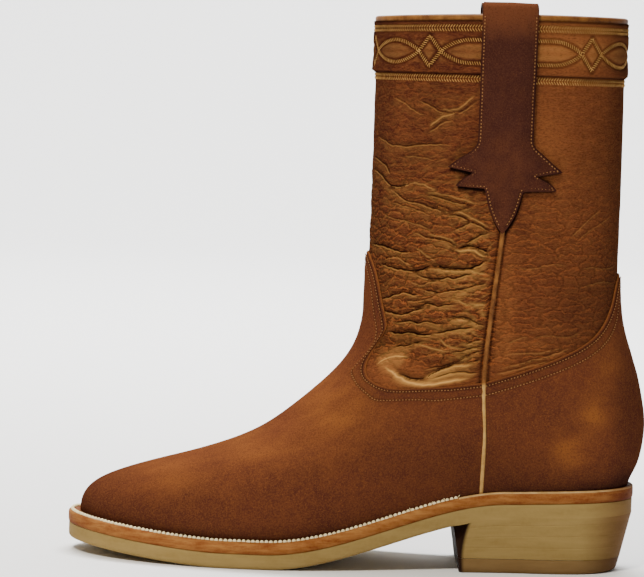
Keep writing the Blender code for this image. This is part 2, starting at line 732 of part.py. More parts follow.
def main():
    """Builds the boot."""
    for thing in list(bpy.data.objects):
        bpy.data.objects.remove(thing)
    bpy.context.scene.collection.children.link(bpy.data.collections.new(COLLECTION))
    rough_out = make_material("rough_out", (130, 71, 33), 0.9)
    smooth_leather = make_material("smooth_leather", (113, 61, 32), 0.45)
    dark_leather = make_material("dark_leather", (74, 39, 27), 0.75)
    edge_leather = make_material("edge_leather", (150, 90, 42), 0.6)
    tan_piping = make_material("tan_piping", (150, 108, 62), 0.5)
    sole_rubber = make_material("sole_rubber", (154, 130, 84), 0.7)
    lift_rubber = make_material("lift_rubber", (122, 91, 53), 0.7)
    lining = make_material("lining", (176, 132, 84), 0.8)
    make_outsole(sole_rubber)
    make_midsole(edge_leather)
    make_welt(edge_leather)
    make_insole(lining)
    make_heel_block(sole_rubber)
    make_top_lift(lift_rubber)
    make_upper(smooth_leather)
    make_vamp(rough_out)
    make_counter(rough_out)
    make_collar_band(smooth_leather)
    make_binding(tan_piping)
    for side, word in ((1, "lateral"), (-1, "medial")):
        make_side_seam(f"side_seam_{word}", side, tan_piping)
        make_pull_strap(f"pull_strap_{word}", side, dark_leather)


main()
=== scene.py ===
"""Looks of the left roper boot: rough-out foot, creased shaft, stitched collar band, rope-stitched welt.

The surface functions and tables repeat those of the part, so every piece lies where its solid is.
Lengths are in metres, and in millimetres where a name or comment says so.
"""

import math

import bpy
import numpy as np
from mathutils import Matrix, Vector


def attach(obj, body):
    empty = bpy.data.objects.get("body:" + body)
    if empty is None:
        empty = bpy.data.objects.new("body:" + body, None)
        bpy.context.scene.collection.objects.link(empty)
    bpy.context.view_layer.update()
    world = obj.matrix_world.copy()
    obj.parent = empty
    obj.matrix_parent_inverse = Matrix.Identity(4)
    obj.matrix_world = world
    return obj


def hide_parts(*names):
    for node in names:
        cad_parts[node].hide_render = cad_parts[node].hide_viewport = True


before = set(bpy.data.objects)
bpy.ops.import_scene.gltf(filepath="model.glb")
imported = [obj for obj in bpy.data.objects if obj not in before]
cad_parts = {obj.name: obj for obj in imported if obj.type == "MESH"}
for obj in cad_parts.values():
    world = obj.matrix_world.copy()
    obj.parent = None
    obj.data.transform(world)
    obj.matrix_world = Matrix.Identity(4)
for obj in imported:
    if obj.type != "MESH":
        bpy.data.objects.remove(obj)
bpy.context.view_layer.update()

MM = 0.001
GAP = 0.0003
LAID_GAP = 0.0005

# Sizes of the part
FOOT_LENGTH = 0.2888
BALL_WIDTH = 0.094
WAIST_WIDTH = 0.069
HEEL_WIDTH = 0.065
HEEL_BACK = 0.0472
COUNTER_BULGE = 0.0155
TOE_SWING = 0.008
BALL_SKEW = 0.035
WAIST_SKEW = 0.11
SHAFT_DEPTH = 0.134
SHAFT_WIDTH = 0.088
SHAFT_HEIGHT = 0.251
FRONT_DROP = 0.003
SCALLOP = 0.0015
UPPER_WALL = 0.0022
VAMP_OUT = 0.0017
BAND_DEPTH = 0.0311
BAND_OUT = 0.0013
BINDING_DEPTH = 0.0032
BINDING_LEATHER = 0.0011
OUTSOLE = 0.008
MIDSOLE = 0.003
WELT = 0.003
INSOLE = 0.0025
TOE_SPRING = 0.007
HEEL_HEIGHT = 0.029
SEAT_PITCH = 0.0023
TOP_LIFT = 0.0078
BACK_TAPER = 0.0075
BREAST_TAPER = 0.004
SIDE_TAPER = 0.0028
CORNER_CUT_TOP = 0.0075
CORNER_CUT_LOW = 0.001
STRAP_LENGTH = 0.1135
STRAP_WIDTH = 0.0282
STRAP_LEATHER = 0.0024
STRAP_STAND = 0.0075
STRAP_INSIDE = 0.055
STRAP_AROUND = 0.519
MEDIAL_STRAP_BACK = 0.0024
BALL_FRONT = 0.752
BALL_BACK = 0.659
SEAT_FRONT = 0.212
BREAST = 0.318
SOLE_REACH = 0.0082

# Tables of the part: breadth stations, sections from the feather line to the collar, sole, seam and strap
STATIONS = (0.0, 0.12, 0.33, 0.62, 0.86, 1.0)
FOOT_SECTIONS = (
    # rise, reach, front, bulge,  tip,  toe, ball, waist, heel, back
    (0.00, 1.000, 0.000, 0.484, 1.23, 1.19, 1.02, 1.00, 1.35, 1.91),
    (0.03, 1.004, 0.023, 0.620, 1.25, 1.22, 1.07, 1.06, 1.46, 2.00),
    (0.06, 0.986, 0.049, 0.840, 1.23, 1.23, 1.11, 1.10, 1.53, 2.03),
    (0.09, 0.927, 0.075, 0.965, 1.20, 1.21, 1.11, 1.13, 1.55, 2.03),
    (0.12, 0.806, 0.101, 1.000, 1.19, 1.17, 1.08, 1.15, 1.57, 1.99),
    (0.15, 0.650, 0.125, 0.990, 1.19, 1.13, 1.03, 1.16, 1.57, 1.90),
    (0.18, 0.500, 0.151, 0.948, 1.17, 1.06, 0.98, 1.15, 1.55, 1.78),
    (0.21, 0.378, 0.181, 0.868, 1.09, 1.01, 0.94, 1.13, 1.51, 1.66),
    (0.24, 0.273, 0.218, 0.760, 1.01, 0.96, 0.89, 1.12, 1.45, 1.54),
    (0.28, 0.154, 0.273, 0.560, 0.92, 0.90, 0.86, 1.11, 1.38, 1.43),
)
SHAFT_SECTIONS = (
    # rise, reach, front, bulge,  tip,  toe, ball, waist, heel, back
    (0.32, 0.064, 0.327, 0.335, 0.92, 0.92, 0.91, 0.88, 0.98, 0.98),
    (0.36, 0.013, 0.380, 0.120, 0.90, 0.90, 0.91, 0.89, 0.93, 0.93),
    (0.40, -0.001, 0.434, 0.050, 0.89, 0.90, 0.92, 0.91, 0.92, 0.91),
    (0.46, -0.005, 0.508, 0.000, 0.90, 0.91, 0.92, 0.92, 0.91, 0.91),
    (0.52, -0.005, 0.575, 0.000, 0.91, 0.92, 0.93, 0.93, 0.92, 0.92),
    (0.68, -0.007, 0.723, 0.000, 0.95, 0.95, 0.95, 0.95, 0.95, 0.95),
    (0.84, -0.007, 0.864, -0.030, 0.98, 0.98, 0.98, 0.98, 0.98, 0.98),
    (1.00, -0.009, 1.000, -0.075, 1.00, 1.00, 1.00, 1.00, 1.00, 1.00),
)
SOLE_REACH_SHARES = (1.0, 0.97, 0.92, 0.66, 0.56, 0.63)
SIDE_SEAM = (
    # rise, around
    (0.00, 0.476),
    (0.10, 0.479),
    (0.20, 0.476),
    (0.28, 0.472),
    (0.36, 0.483),
    (0.46, 0.505),
    (0.54, 0.521),
)

# The top edge of the rough-out leather in three smooth stretches.
# column: share of half a turn; low, high: degrees round the boot on the feather line and on the edge
TONGUE_EDGE = (
    # column, low, high, rise
    (0.000, 0.0, 0.0, 0.4920),
    (0.036, 3.5, 9.0, 0.4880),
    (0.071, 7.0, 16.1, 0.4747),
    (0.107, 10.5, 22.0, 0.4560),
    (0.130, 13.0, 25.4, 0.4380),
    (0.155, 15.5, 29.0, 0.4144),
    (0.180, 18.0, 32.4, 0.3940),
    (0.200, 20.0, 35.4, 0.3757),
)
LOBE_EDGE = (
    # column, low, high, rise
    (0.200, 20.0, 35.4, 0.3757),
    (0.215, 21.5, 33.0, 0.3572),
    (0.235, 23.5, 31.0, 0.3382),
    (0.255, 26.0, 32.4, 0.3190),
    (0.275, 29.0, 37.8, 0.3024),
    (0.300, 33.5, 45.7, 0.2898),
    (0.330, 40.0, 54.0, 0.2802),
    (0.370, 49.0, 63.0, 0.2755),
    (0.420, 60.0, 73.0, 0.2738),
    (0.560, 88.0, 84.5, 0.2730),
    (0.714, 117.6, 92.9, 0.2740),
)
COUNTER_EDGE = (
    # column, low, high, rise
    (0.714, 117.6, 92.9, 0.2740),
    (0.760, 128.0, 104.5, 0.2875),
    (0.820, 141.0, 119.9, 0.3077),
    (0.870, 152.0, 136.2, 0.3330),
    (0.920, 163.0, 152.0, 0.3728),
    (0.955, 170.5, 161.2, 0.4142),
    (0.985, 177.0, 171.0, 0.4520),
    (1.000, 180.0, 180.0, 0.4640),
)
SEAM_SHARE = 0.714
EDGE_BEND = 4.0
STRAP_OUTLINE = (
    # down, breadth in front, breadth behind
    (0.560, 1.00, 1.00),
    (0.580, 1.01, 1.01),
    (0.600, 1.07, 1.10),
    (0.618, 1.19, 1.26),
    (0.636, 1.37, 1.45),
    (0.655, 1.60, 1.66),
    (0.675, 1.82, 1.87),
    (0.690, 1.96, 2.02),
    (0.700, 2.05, 2.12),
    (0.703, 1.98, 2.05),
    (0.712, 1.60, 1.66),
    (0.722, 1.16, 1.20),
    (0.732, 1.24, 1.32),
    (0.748, 1.47, 1.60),
    (0.766, 1.62, 1.80),
    (0.784, 1.74, 1.92),
    (0.788, 1.70, 1.88),
    (0.794, 0.74, 0.76),
    (0.800, 0.69, 0.70),
    (0.830, 0.63, 0.65),
    (0.870, 0.55, 0.57),
    (0.910, 0.43, 0.46),
    (0.945, 0.30, 0.32),
    (0.975, 0.16, 0.17),
    (0.998, 0.03, 0.03),
)
LEAF_DROOP = 0.0011

# Main creases of the shaft on its lateral side, read off the photograph as x and z in millimetres.
# depth in millimetres is negative for a raised fold
CREASES = (
    # depth, width, places
    (0.5, 2.4, ((-84, 250), (-78, 247), (-72, 243), (-66, 241))),
    (0.6, 1.8, ((-72, 249), (-66, 247), (-61, 244), (-56, 242.6), (-50, 243), (-45, 246), (-40, 250))),
    (-0.5, 1.5, ((-60, 244), (-55, 244), (-50, 244.8), (-46, 248), (-41, 252.5))),
    (-0.6, 2.0, ((-65, 234), (-62, 237), (-58, 240), (-54, 241.5), (-50, 243))),
    (0.6, 2.0, ((-66, 232), (-61, 235), (-57, 238), (-52, 239))),
    (0.8, 2.0, ((-92, 229), (-88, 227), (-85, 225), (-81, 224.3), (-76, 224.3), (-70, 225.3),
                (-62, 226), (-50, 226))),
    (0.4, 1.8, ((-78, 219), (-72, 219.4), (-65, 218.6), (-60, 217))),
    (0.9, 2.0, ((-93, 218), (-88, 214.5), (-85, 211), (-83, 208))),
    (1.3, 2.1, ((-94, 211), (-90, 209), (-87, 206), (-84, 203), (-80, 202.6), (-76, 203.6), (-70, 206))),
    (0.9, 1.9, ((-84, 202), (-79, 198), (-74, 195.3), (-68, 194.6), (-63, 193), (-57, 191.4),
                (-50, 190.6))),
    (-0.5, 1.6, ((-78, 202.6), (-73, 204.6), (-67, 204.3), (-62, 202.4), (-58, 201))),
    (0.9, 1.5, ((-66, 199), (-60, 198.3), (-54, 197.2), (-49, 195.8), (-44, 195.2), (-39, 193.6))),
    (-0.5, 1.2, ((-66, 200.3), (-60, 200), (-54, 199), (-49, 198), (-43, 196.8), (-38, 194.6))),
    (0.6, 1.5, ((-60, 195), (-55, 192.8), (-50, 191.7), (-45, 192.6), (-40, 194.6))),
    (1.0, 1.5, ((-56, 189.6), (-50, 189), (-46, 188.6), (-42, 186.4), (-38, 185), (-33, 182.6),
                (-29, 181))),
    (-0.6, 1.1, ((-52, 190.8), (-46, 190.2), (-41, 188), (-36, 185.8), (-31, 183))),
    (0.6, 1.7, ((-84, 195), (-78, 193.2), (-72, 192), (-66, 190), (-60, 188))),
    (0.6, 1.7, ((-88, 188), (-82, 186), (-76, 185), (-70, 184), (-64, 182), (-58, 181))),
    (0.9, 1.4, ((-50, 181.6), (-45, 183.8), (-41, 186.6))),
    (1.1, 1.4, ((-44, 174.6), (-40, 176.8), (-36, 179.4), (-31, 180.6))),
    (0.7, 1.5, ((-72, 180), (-66, 177.6), (-60, 176), (-54, 175.4), (-49, 173.5), (-45, 172))),
    (-0.5, 1.1, ((-64, 178.8), (-58, 177.6), (-53, 176.6), (-48, 174.4))),
    (1.5, 2.0, ((-95, 171), (-91, 171), (-86, 170.4), (-80, 168.8), (-74, 168.3), (-70, 169.5))),
    (-0.4, 0.9, ((-70, 171), (-66, 168.5), (-62, 166), (-58, 164.5))),
    (1.4, 1.5, ((-48, 171), (-44, 172.8), (-39, 173.2), (-34, 171.4), (-30, 170))),
    (-0.9, 1.2, ((-50, 171.6), (-46, 170.4), (-42, 171), (-38, 170.5), (-35, 168.6), (-31, 168))),
    (0.8, 1.6, ((-86, 163), (-82, 164.8), (-78, 165.4), (-74, 163), (-69, 162.4))),
    (1.5, 1.7, ((-88, 162), (-84, 160), (-78, 159), (-72, 158.6), (-66, 159.4), (-62, 161.6),
                (-57, 161.8))),
    (1.8, 1.7, ((-62, 161.6), (-56, 161.4), (-50, 161), (-45, 161.2), (-40, 162), (-36, 163.6),
                (-31, 167))),
    (-0.7, 1.1, ((-64, 159.6), (-58, 160), (-52, 159.6), (-45, 160), (-40, 160.2), (-36, 159), (-30, 159))),
    (1.3, 1.4, ((-70, 157.8), (-66, 156), (-60, 155), (-56, 155.4), (-52, 156.3), (-48, 156),
                (-44, 157.6), (-37, 159))),
    (0.6, 1.3, ((-72, 154), (-66, 151.8), (-62, 153.2), (-57, 154.4))),
    (1.0, 1.5, ((-68, 149.5), (-62, 149), (-57, 148), (-52, 149.4), (-47, 150), (-41, 151.6),
                (-35, 153.4), (-30, 155.4))),
    (1.3, 1.5, ((-87, 142), (-83, 143.6), (-78, 146), (-74, 147), (-70, 146), (-65, 147))),
    (0.7, 1.3, ((-74, 143), (-68, 143.4), (-62, 144.6), (-58, 147))),
    (1.1, 1.5, ((-72, 139.5), (-66, 140), (-62, 142), (-57, 141), (-52, 141.8), (-46, 142.2))),
    (-0.6, 1.1, ((-50, 144.4), (-45, 143.6), (-41, 142.2), (-36, 142.6), (-31, 142))),
    (1.3, 1.4, ((-87, 136.8), (-83, 136), (-79, 135.4), (-74, 135.6), (-68, 138), (-62, 140.4))),
    (1.2, 1.5, ((-81, 130.8), (-76, 131.2), (-70, 132), (-66, 131.4), (-62, 132.8), (-58, 131.5),
                (-52, 132.4))),
    (1.0, 1.4, ((-52, 132.4), (-47, 135.2), (-41, 135.6), (-36, 133), (-30, 131.5))),
    (-0.6, 1.0, ((-51, 134), (-46, 134.2), (-40, 134))),
    (2.0, 1.6, ((-82, 126.4), (-78, 125), (-74, 125.4), (-70, 126), (-66, 125.6), (-61, 125.8),
                (-57, 127))),
    (1.4, 1.4, ((-60, 126), (-55, 127.2), (-50, 128.4), (-44, 129.6), (-37, 130.8))),
    (0.9, 1.7, ((-79, 117.5), (-75, 118.6), (-70, 119.8), (-66, 121.6), (-61, 122.4))),
    (-0.6, 1.5, ((-72, 121), (-66, 120), (-60, 118.6), (-54, 117.6), (-49, 117))),
    (-0.5, 0.8, ((-56, 124.2), (-53, 121.6), (-50, 120), (-46, 119), (-43, 119.4))),
    (0.9, 1.1, ((-50, 117), (-44, 117.8), (-40, 119), (-36, 120.3), (-31, 121.3))),
    (0.8, 1.0, ((-42, 121.2), (-38, 123), (-33, 124.2), (-30, 124.4))),
    (0.8, 1.0, ((-44, 114.6), (-40, 115.6), (-36, 117.4), (-31, 118.4))),
    (0.8, 1.0, ((-42, 111.4), (-38, 112.6), (-34, 113.6), (-30, 114))),
    (0.8, 5.0, ((-64, 107), (-56, 109), (-50, 110.6), (-44, 113), (-38, 116))),
    (1.3, 2.3, ((-77, 105), (-73, 103.4), (-68, 102), (-64, 102.2), (-60, 104), (-56, 106.6),
                (-50, 109.6), (-43, 111.6))),
    (-1.4, 1.9, ((-84, 107.5), (-80, 105), (-76, 102.6), (-72, 100.8), (-66, 99.3), (-60, 99.4),
                (-53, 100.8), (-46, 102.4), (-36, 104))),
    (-1.0, 1.3, ((-64, 101.8), (-60, 104), (-56, 106), (-50, 108.6), (-44, 110), (-37, 110.6))),
    (1.0, 1.2, ((-60, 102.2), (-54, 104.4), (-48, 106.2), (-42, 106.8), (-33, 106.6))),
    (-1.2, 9.0, ((-88, 107), (-80, 112), (-70, 113))),
    (0.45, 1.0, ((-27, 106.4), (-15, 109.4), (-5, 112.6), (4, 115))),
    (0.5, 1.1, ((-24, 109.6), (-14, 112.4), (-4, 115.4), (6, 118.6), (14, 122))),
    (0.4, 1.0, ((-22, 117), (-12, 118.4), (-2, 119), (10, 122))),
    (0.35, 1.2, ((-20, 123), (-14, 126), (-8, 127))),
    (0.3, 1.1, ((-8, 126), (2, 128), (12, 127.4), (20, 131))),
    (0.35, 1.3, ((10, 178), (16, 184), (22, 190), (28, 195))),
    (0.3, 1.2, ((14, 176), (20, 182), (28, 187), (34, 191))),
    (0.4, 1.3, ((18, 153), (24, 155), (31, 156), (37, 155))),
    (0.35, 1.2, ((16, 162), (24, 164), (32, 163), (38, 165))),
    (0.3, 1.2, ((-18, 164), (-8, 163), (2, 165.4), (12, 164.4))),
)


def smooth_step(t):
    """0 below 0, 1 above 1, and a smooth rise between them."""
    t = np.clip(t, 0.0, 1.0)
    return t * t * (3.0 - 2.0 * t)


def hump(value, middle, wide):
    """1 at the middle, falling away on both sides of it in a bell curve."""
    return np.exp(-(((value - middle) / wide) ** 2))


def spline_weights(knots, t):
    """Weights of the knots' values in a natural cubic spline at t, one row of weights for each t."""
    knots, t = np.asarray(knots, float), np.asarray(t, float)
    count, step = len(knots), np.diff(knots)
    left, right = np.eye(count), np.zeros((count, count))
    for i in range(1, count - 1):
        left[i, i - 1 : i + 2] = step[i - 1], 2.0 * (step[i - 1] + step[i]), step[i]
        right[i, i - 1] = 6.0 / step[i - 1]
        right[i, i] = -6.0 / step[i - 1] - 6.0 / step[i]
        right[i, i + 1] = 6.0 / step[i]
    bend, value = np.linalg.solve(left, right), np.eye(count)
    k = np.clip(np.searchsorted(knots, t, side="right") - 1, 0, count - 2)
    width = step[k][..., None]
    b = (t - knots[k])[..., None] / width
    a = 1.0 - b
    curved = ((a**3 - a) * bend[k] + (b**3 - b) * bend[k + 1]) * width**2 / 6.0
    return a * value[k] + b * value[k + 1] + curved


def spline(table, t):
    """Every column of a table but its first, read at t by a smooth curve through the table's rows."""
    table = np.array(table)
    return spline_weights(table[:, 0], t) @ table[:, 1:]


def section_table():
    """All sections, from the feather line to the collar, with their breadths in metres."""
    foot, shaft = np.array(FOOT_SECTIONS), np.array(SHAFT_SECTIONS)
    foot[:, 4:] *= np.array([BALL_WIDTH] * 3 + [WAIST_WIDTH] + [HEEL_WIDTH] * 2) / 2.0
    shaft[:, 4:] *= SHAFT_WIDTH / 2.0
    return np.vstack([foot, shaft])


SECTIONS = section_table()
TOE_X = HEEL_BACK - FOOT_LENGTH
SHAFT_BACK_X = HEEL_BACK - SECTIONS[0, 3] * COUNTER_BULGE
SHAFT_FRONT_X = SHAFT_BACK_X - SHAFT_DEPTH
STRAP_X = SHAFT_FRONT_X + STRAP_AROUND * SHAFT_DEPTH


def along_foot(share):
    """x of a place that lies this share of the foot's length forward of the heel's back."""
    return HEEL_BACK - share * FOOT_LENGTH


def sole_bottom(x):
    """Height of the outsole's underside over the floor."""
    toe_run = along_foot(BALL_FRONT) - (TOE_X - SOLE_REACH)
    toe = np.clip((along_foot(BALL_FRONT) - x) / toe_run, 0.0, None)
    waist = smooth_step((x - along_foot(BALL_BACK)) / (along_foot(SEAT_FRONT) - along_foot(BALL_BACK)))
    seat = np.clip((x - along_foot(SEAT_FRONT)) / (HEEL_BACK - along_foot(SEAT_FRONT)), 0.0, None)
    return TOE_SPRING * toe**1.3 + HEEL_HEIGHT * waist + SEAT_PITCH * seat


def seat_height(x):
    """Height on which the upper and the insole stand."""
    return sole_bottom(x) + OUTSOLE + GAP + MIDSOLE + GAP


COLLAR_Z = float(seat_height(HEEL_BACK)) + SHAFT_HEIGHT


def section_ends(rise):
    """x of a section's front point and of its back point."""
    row = spline(SECTIONS, rise)
    front_x = SHAFT_FRONT_X - row[..., 0] * (SHAFT_FRONT_X - TOE_X)
    return front_x, SHAFT_BACK_X + row[..., 2] * COUNTER_BULGE


def shape(angle, rise):
    """Points of the upper's outer face. angle: 0 in front, pi behind, negative on the medial side."""
    angle, rise = np.broadcast_arrays(np.asarray(angle, float), np.asarray(rise, float))
    row = spline(SECTIONS, rise)
    front, breadths = row[..., 1], row[..., 3:]
    share = (1.0 - np.cos(angle)) / 2.0
    front_x, back_x = section_ends(rise)
    toe_seat, heel_seat = seat_height(TOE_X), seat_height(HEEL_BACK)
    front_z = toe_seat + front * (COLLAR_Z - FRONT_DROP - toe_seat)
    back_z = heel_seat + rise * SHAFT_HEIGHT
    x = front_x + share * (back_x - front_x)
    bow = seat_height(x) - (1.0 - share) * seat_height(front_x) - share * seat_height(back_x)
    z = front_z + share * (back_z - front_z) + (1.0 - smooth_step(rise / 0.3)) * bow
    z = z + SCALLOP * np.sin(angle) ** 2 * np.clip(rise, 0.0, None) ** 6
    side, foot = np.sign(np.sin(angle)), 1.0 - smooth_step(rise / 0.45)
    station = share - side * BALL_SKEW * foot * 4.0 * share * (1.0 - share)
    breadth = (spline_weights(STATIONS, station) * breadths).sum(-1)
    breadth = breadth * (1.0 + side * WAIST_SKEW * foot * hump(share, 0.62, 0.14))
    middle = TOE_SWING * ((HEEL_BACK - x) / FOOT_LENGTH) ** 2
    return np.stack([x, middle - np.sin(angle) * breadth, z], axis=-1)


def normal(angle, rise):
    """Outward unit normal of the upper's outer face."""
    step = 1e-4
    around = shape(angle + step, rise) - shape(angle - step, rise)
    up = shape(angle, rise + step) - shape(angle, rise - step)
    out = np.cross(around, up)
    return out / np.linalg.norm(out, axis=-1, keepdims=True)


def skin(angle, rise, out=0.0):
    """Points that lie out metres off the upper's outer face."""
    return shape(angle, rise) + np.asarray(out)[..., None] * normal(angle, rise)


def rise_where(test, low, high):
    """The rise at which test(rise) turns from negative to positive, found by halving."""
    low, high = np.array(low, float), np.array(high, float)
    for _ in range(30):
        middle = (low + high) / 2.0
        below = test(middle) < 0.0
        low, high = np.where(below, middle, low), np.where(below, high, middle)
    return (low + high) / 2.0


def angle_of(around):
    """Angle of a place that lies this share of the way from a section's front point to its back point."""
    return np.arccos(np.clip(1.0 - 2.0 * np.asarray(around, float), -1.0, 1.0))


def side_place(side, x, z):
    """Angle and rise of the place on one side of the shaft that has this x and z."""
    x, z = np.broadcast_arrays(np.asarray(x, float), np.asarray(z, float))

    def angle_at(rise):
        front_x, back_x = section_ends(rise)
        return side * angle_of((x - front_x) / (back_x - front_x))

    rise = rise_where(lambda r: shape(angle_at(r), r)[..., 2] - z, np.zeros_like(z), np.ones_like(z))
    return angle_at(rise), rise


def seam_angle(rise):
    """Angle of the side seam at this rise."""
    front_x, back_x = section_ends(rise)
    seam_x = SHAFT_FRONT_X + spline(SIDE_SEAM, np.clip(rise, 0.0, SIDE_SEAM[-1][0]))[..., 0] * SHAFT_DEPTH
    return angle_of((seam_x - front_x) / (back_x - front_x))


def strap_x(side):
    """x of the middle of the strap on one side. The medial strap sits a little further back."""
    return STRAP_X if side > 0 else STRAP_X + MEDIAL_STRAP_BACK


def edge_of_foot(share):
    """Angle of the feather line, and angle and rise of the foot leather's top edge, at this share."""
    share = np.asarray(share, float)
    on_tongue = share[..., None] < TONGUE_EDGE[-1][0]
    values = np.where(on_tongue, spline(TONGUE_EDGE, share), spline(LOBE_EDGE, share))
    values = np.where(share[..., None] < SEAM_SHARE, values, spline(COUNTER_EDGE, share))
    return np.radians(values[..., 0]), np.radians(values[..., 1]), values[..., 2]


def foot_place(column, row):
    """Angle and rise in the foot. column: -1 to 1 round the boot; row: 0 at feather line, 1 at top edge."""
    side, share = np.sign(column), np.abs(column)
    low, high, rise = edge_of_foot(share)
    seam_low, seam_high, seam_rise = edge_of_foot(SEAM_SHARE)
    tent = np.where(share < SEAM_SHARE, share / SEAM_SHARE, (1.0 - share) / (1.0 - SEAM_SHARE))
    bent = row**EDGE_BEND
    bend = seam_angle(row * seam_rise) - (1.0 - bent) * seam_low - bent * seam_high
    return side * ((1.0 - bent) * low + bent * high + tent * bend), row * rise


# Meshes


def add_mesh(name, points, faces, material, facts=None, flat_angle=None):
    """A smooth-shaded mesh object with a value per point for each fact."""
    mesh = bpy.data.meshes.new(name)
    mesh.from_pydata(np.asarray(points).reshape(-1, 3).tolist(), [], np.asarray(faces).tolist())
    mesh.shade_smooth()
    if flat_angle:
        mesh.set_sharp_from_angle(angle=math.radians(flat_angle))
    for key, values in (facts or {}).items():
        values = np.asarray(values, np.float32)
        wide = values.ndim == 3
        layer = mesh.attributes.new(key, "FLOAT_VECTOR" if wide else "FLOAT", "POINT")
        layer.data.foreach_set("vector" if wide else "value", values.reshape(-1))
    mesh.materials.append(material)
    thing = bpy.data.objects.new(name, mesh)
    bpy.context.scene.collection.objects.link(thing)
    return thing


def grid_faces(rows, columns, closed=False, flip=False):
    """Faces of a grid of points, row by row. closed: the last column joins the first."""
    row = np.arange(rows - 1)[:, None] * columns
    left = np.arange(columns if closed else columns - 1)[None, :]
    right = (left + 1) % columns
    corners = [row + left, row + right, row + columns + right, row + columns + left]
    faces = np.stack(corners, axis=-1).reshape(-1, 4)
    return faces[:, ::-1] if flip else faces


def add_grid(name, points, material, facts=None, closed=False, flip=False, flat_angle=None):
    """A sheet through a grid of points."""
    rows, columns = points.shape[:2]
    return add_mesh(name, points, grid_faces(rows, columns, closed, flip), material, facts, flat_angle)


def settle(piece, slot, *nodes):
    """Fixes a piece to the boot and hides the CAD nodes it stands for. The slot argument is not used."""
    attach(piece, "root")
    if nodes:
        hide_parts(*nodes)


def add_tube_set(name, starts, ends, lifts, radius, material, sides=6, plump=0.6):
    """Many short stitches in one mesh. Each runs from start to end, its middle raised by its lift."""
    stations = np.array([0.0, 0.12, 0.5, 0.88, 1.0])
    girth = np.array([0.35, 0.85, 1.0, 0.85, 0.35])
    along = ends - starts
    length = np.linalg.norm(along, axis=1, keepdims=True)
    along = along / length
    up = lifts / np.linalg.norm(lifts, axis=1, keepdims=True)
    across = np.cross(along, up)
    across /= np.linalg.norm(across, axis=1, keepdims=True)
    up = np.cross(across, along)
    turn = np.linspace(0.0, math.tau, sides, endpoint=False)[None, :, None]
    points = []
    for share, size in zip(stations, girth):
        middle = starts + along * length * share + lifts * (1.0 - (2.0 * share - 1.0) ** 2)
        ring = across[:, None] * np.cos(turn) + plump * up[:, None] * np.sin(turn)
        points.append(middle[:, None] + ring * radius * size)
    points = np.stack(points, axis=1)
    count = len(starts)
    one = grid_faces(len(stations), sides, closed=True)
    each = len(stations) * sides
    faces = (one[None] + (np.arange(count) * each)[:, None, None]).reshape(-1, 4)
    return add_mesh(name, points.reshape(-1, 3), faces, material)


def resample(path, pitch):
    """Places at even distances along a path, about pitch apart."""
    step = np.linalg.norm(np.diff(path[:, :3], axis=0), axis=1)
    length = np.concatenate([[0.0], np.cumsum(step)])
    count = max(int(round(length[-1] / pitch)), 1)
    wanted = (np.arange(count) + 0.5) / count * length[-1]
    return np.stack([np.interp(wanted, length, path[:, k]) for k in range(path.shape[1])], axis=-1)


# Relief


NOISE_CELLS = 128
NOISE_REACH = 1.5


def gradient_noise(u, v, seed):
    """Smooth noise between about -1 and 1 whose cells have size 1."""
    random = np.random.default_rng(seed)
    turn = random.uniform(0.0, math.tau, (NOISE_CELLS, NOISE_CELLS))
    left, low = np.floor(u).astype(int), np.floor(v).astype(int)
    total = 0.0
    for a in (0, 1):
        for b in (0, 1):
            angle = turn[(left + a) % NOISE_CELLS, (low + b) % NOISE_CELLS]
            du, dv = u - left - a, v - low - b
            fade = (1.0 - smooth_step(np.abs(du))) * (1.0 - smooth_step(np.abs(dv)))
            total = total + fade * (np.cos(angle) * du + np.sin(angle) * dv)
    return total * NOISE_REACH


FLAT_RADIUS = 55.4


def flat_place(angle, points):
    """Millimetres round the boot from its front, and height, used to lay out relief and grain."""
    return FLAT_RADIUS * angle, points[..., 2] / MM


def path_distance(u, v, path, reach):
    """Places near a path, their signed distances to it in mm, positive above, and shares of its length."""
    near = (u > path[:, 0].min() - reach) & (u < path[:, 0].max() + reach)
    near &= (v > path[:, 1].min() - reach) & (v < path[:, 1].max() + reach)
    where = np.nonzero(near)
    pu, pv = u[where], v[where]
    best, sign, share = np.full(len(pu), 1e9), np.ones(len(pu)), np.zeros(len(pu))
    lengths = np.concatenate([[0.0], np.cumsum(np.hypot(*np.diff(path, axis=0).T))])
    for i, (start, end) in enumerate(zip(path, path[1:])):
        run = end - start
        size = np.hypot(*run)
        along = np.clip(((pu - start[0]) * run[0] + (pv - start[1]) * run[1]) / size**2, 0.0, 1.0)
        du, dv = pu - start[0] - along * run[0], pv - start[1] - along * run[1]
        distance = np.hypot(du, dv)
        closer = distance < best
        best = np.where(closer, distance, best)
        sign = np.where(closer, np.sign(run[0] * dv - run[1] * du), sign)
        share = np.where(closer, (lengths[i] + along * size) / lengths[-1], share)
    return where, best * sign, share


def crease_paths():
    """The main creases in flat places: the lateral ones, and a slightly shifted copy on the medial side."""
    paths = []
    for depth, width, places in CREASES:
        x, z = np.array(places, float).T
        angle, _ = side_place(1, np.clip(x, -92.5, 38.0) * MM, z * MM)
        paths.append((depth, width, np.column_stack([FLAT_RADIUS * angle, z])))
        shifted_x = np.clip(x + 2.5 * np.sin(z / 11.0), -92.5, 38.0)
        shifted_z = z + 3.0 + 2.5 * np.sin(x / 13.0)
        angle, _ = side_place(1, shifted_x * MM, shifted_z * MM)
        paths.append((depth * 0.85, width, np.column_stack([-FLAT_RADIUS * angle, shifted_z])[::-1]))
    return paths


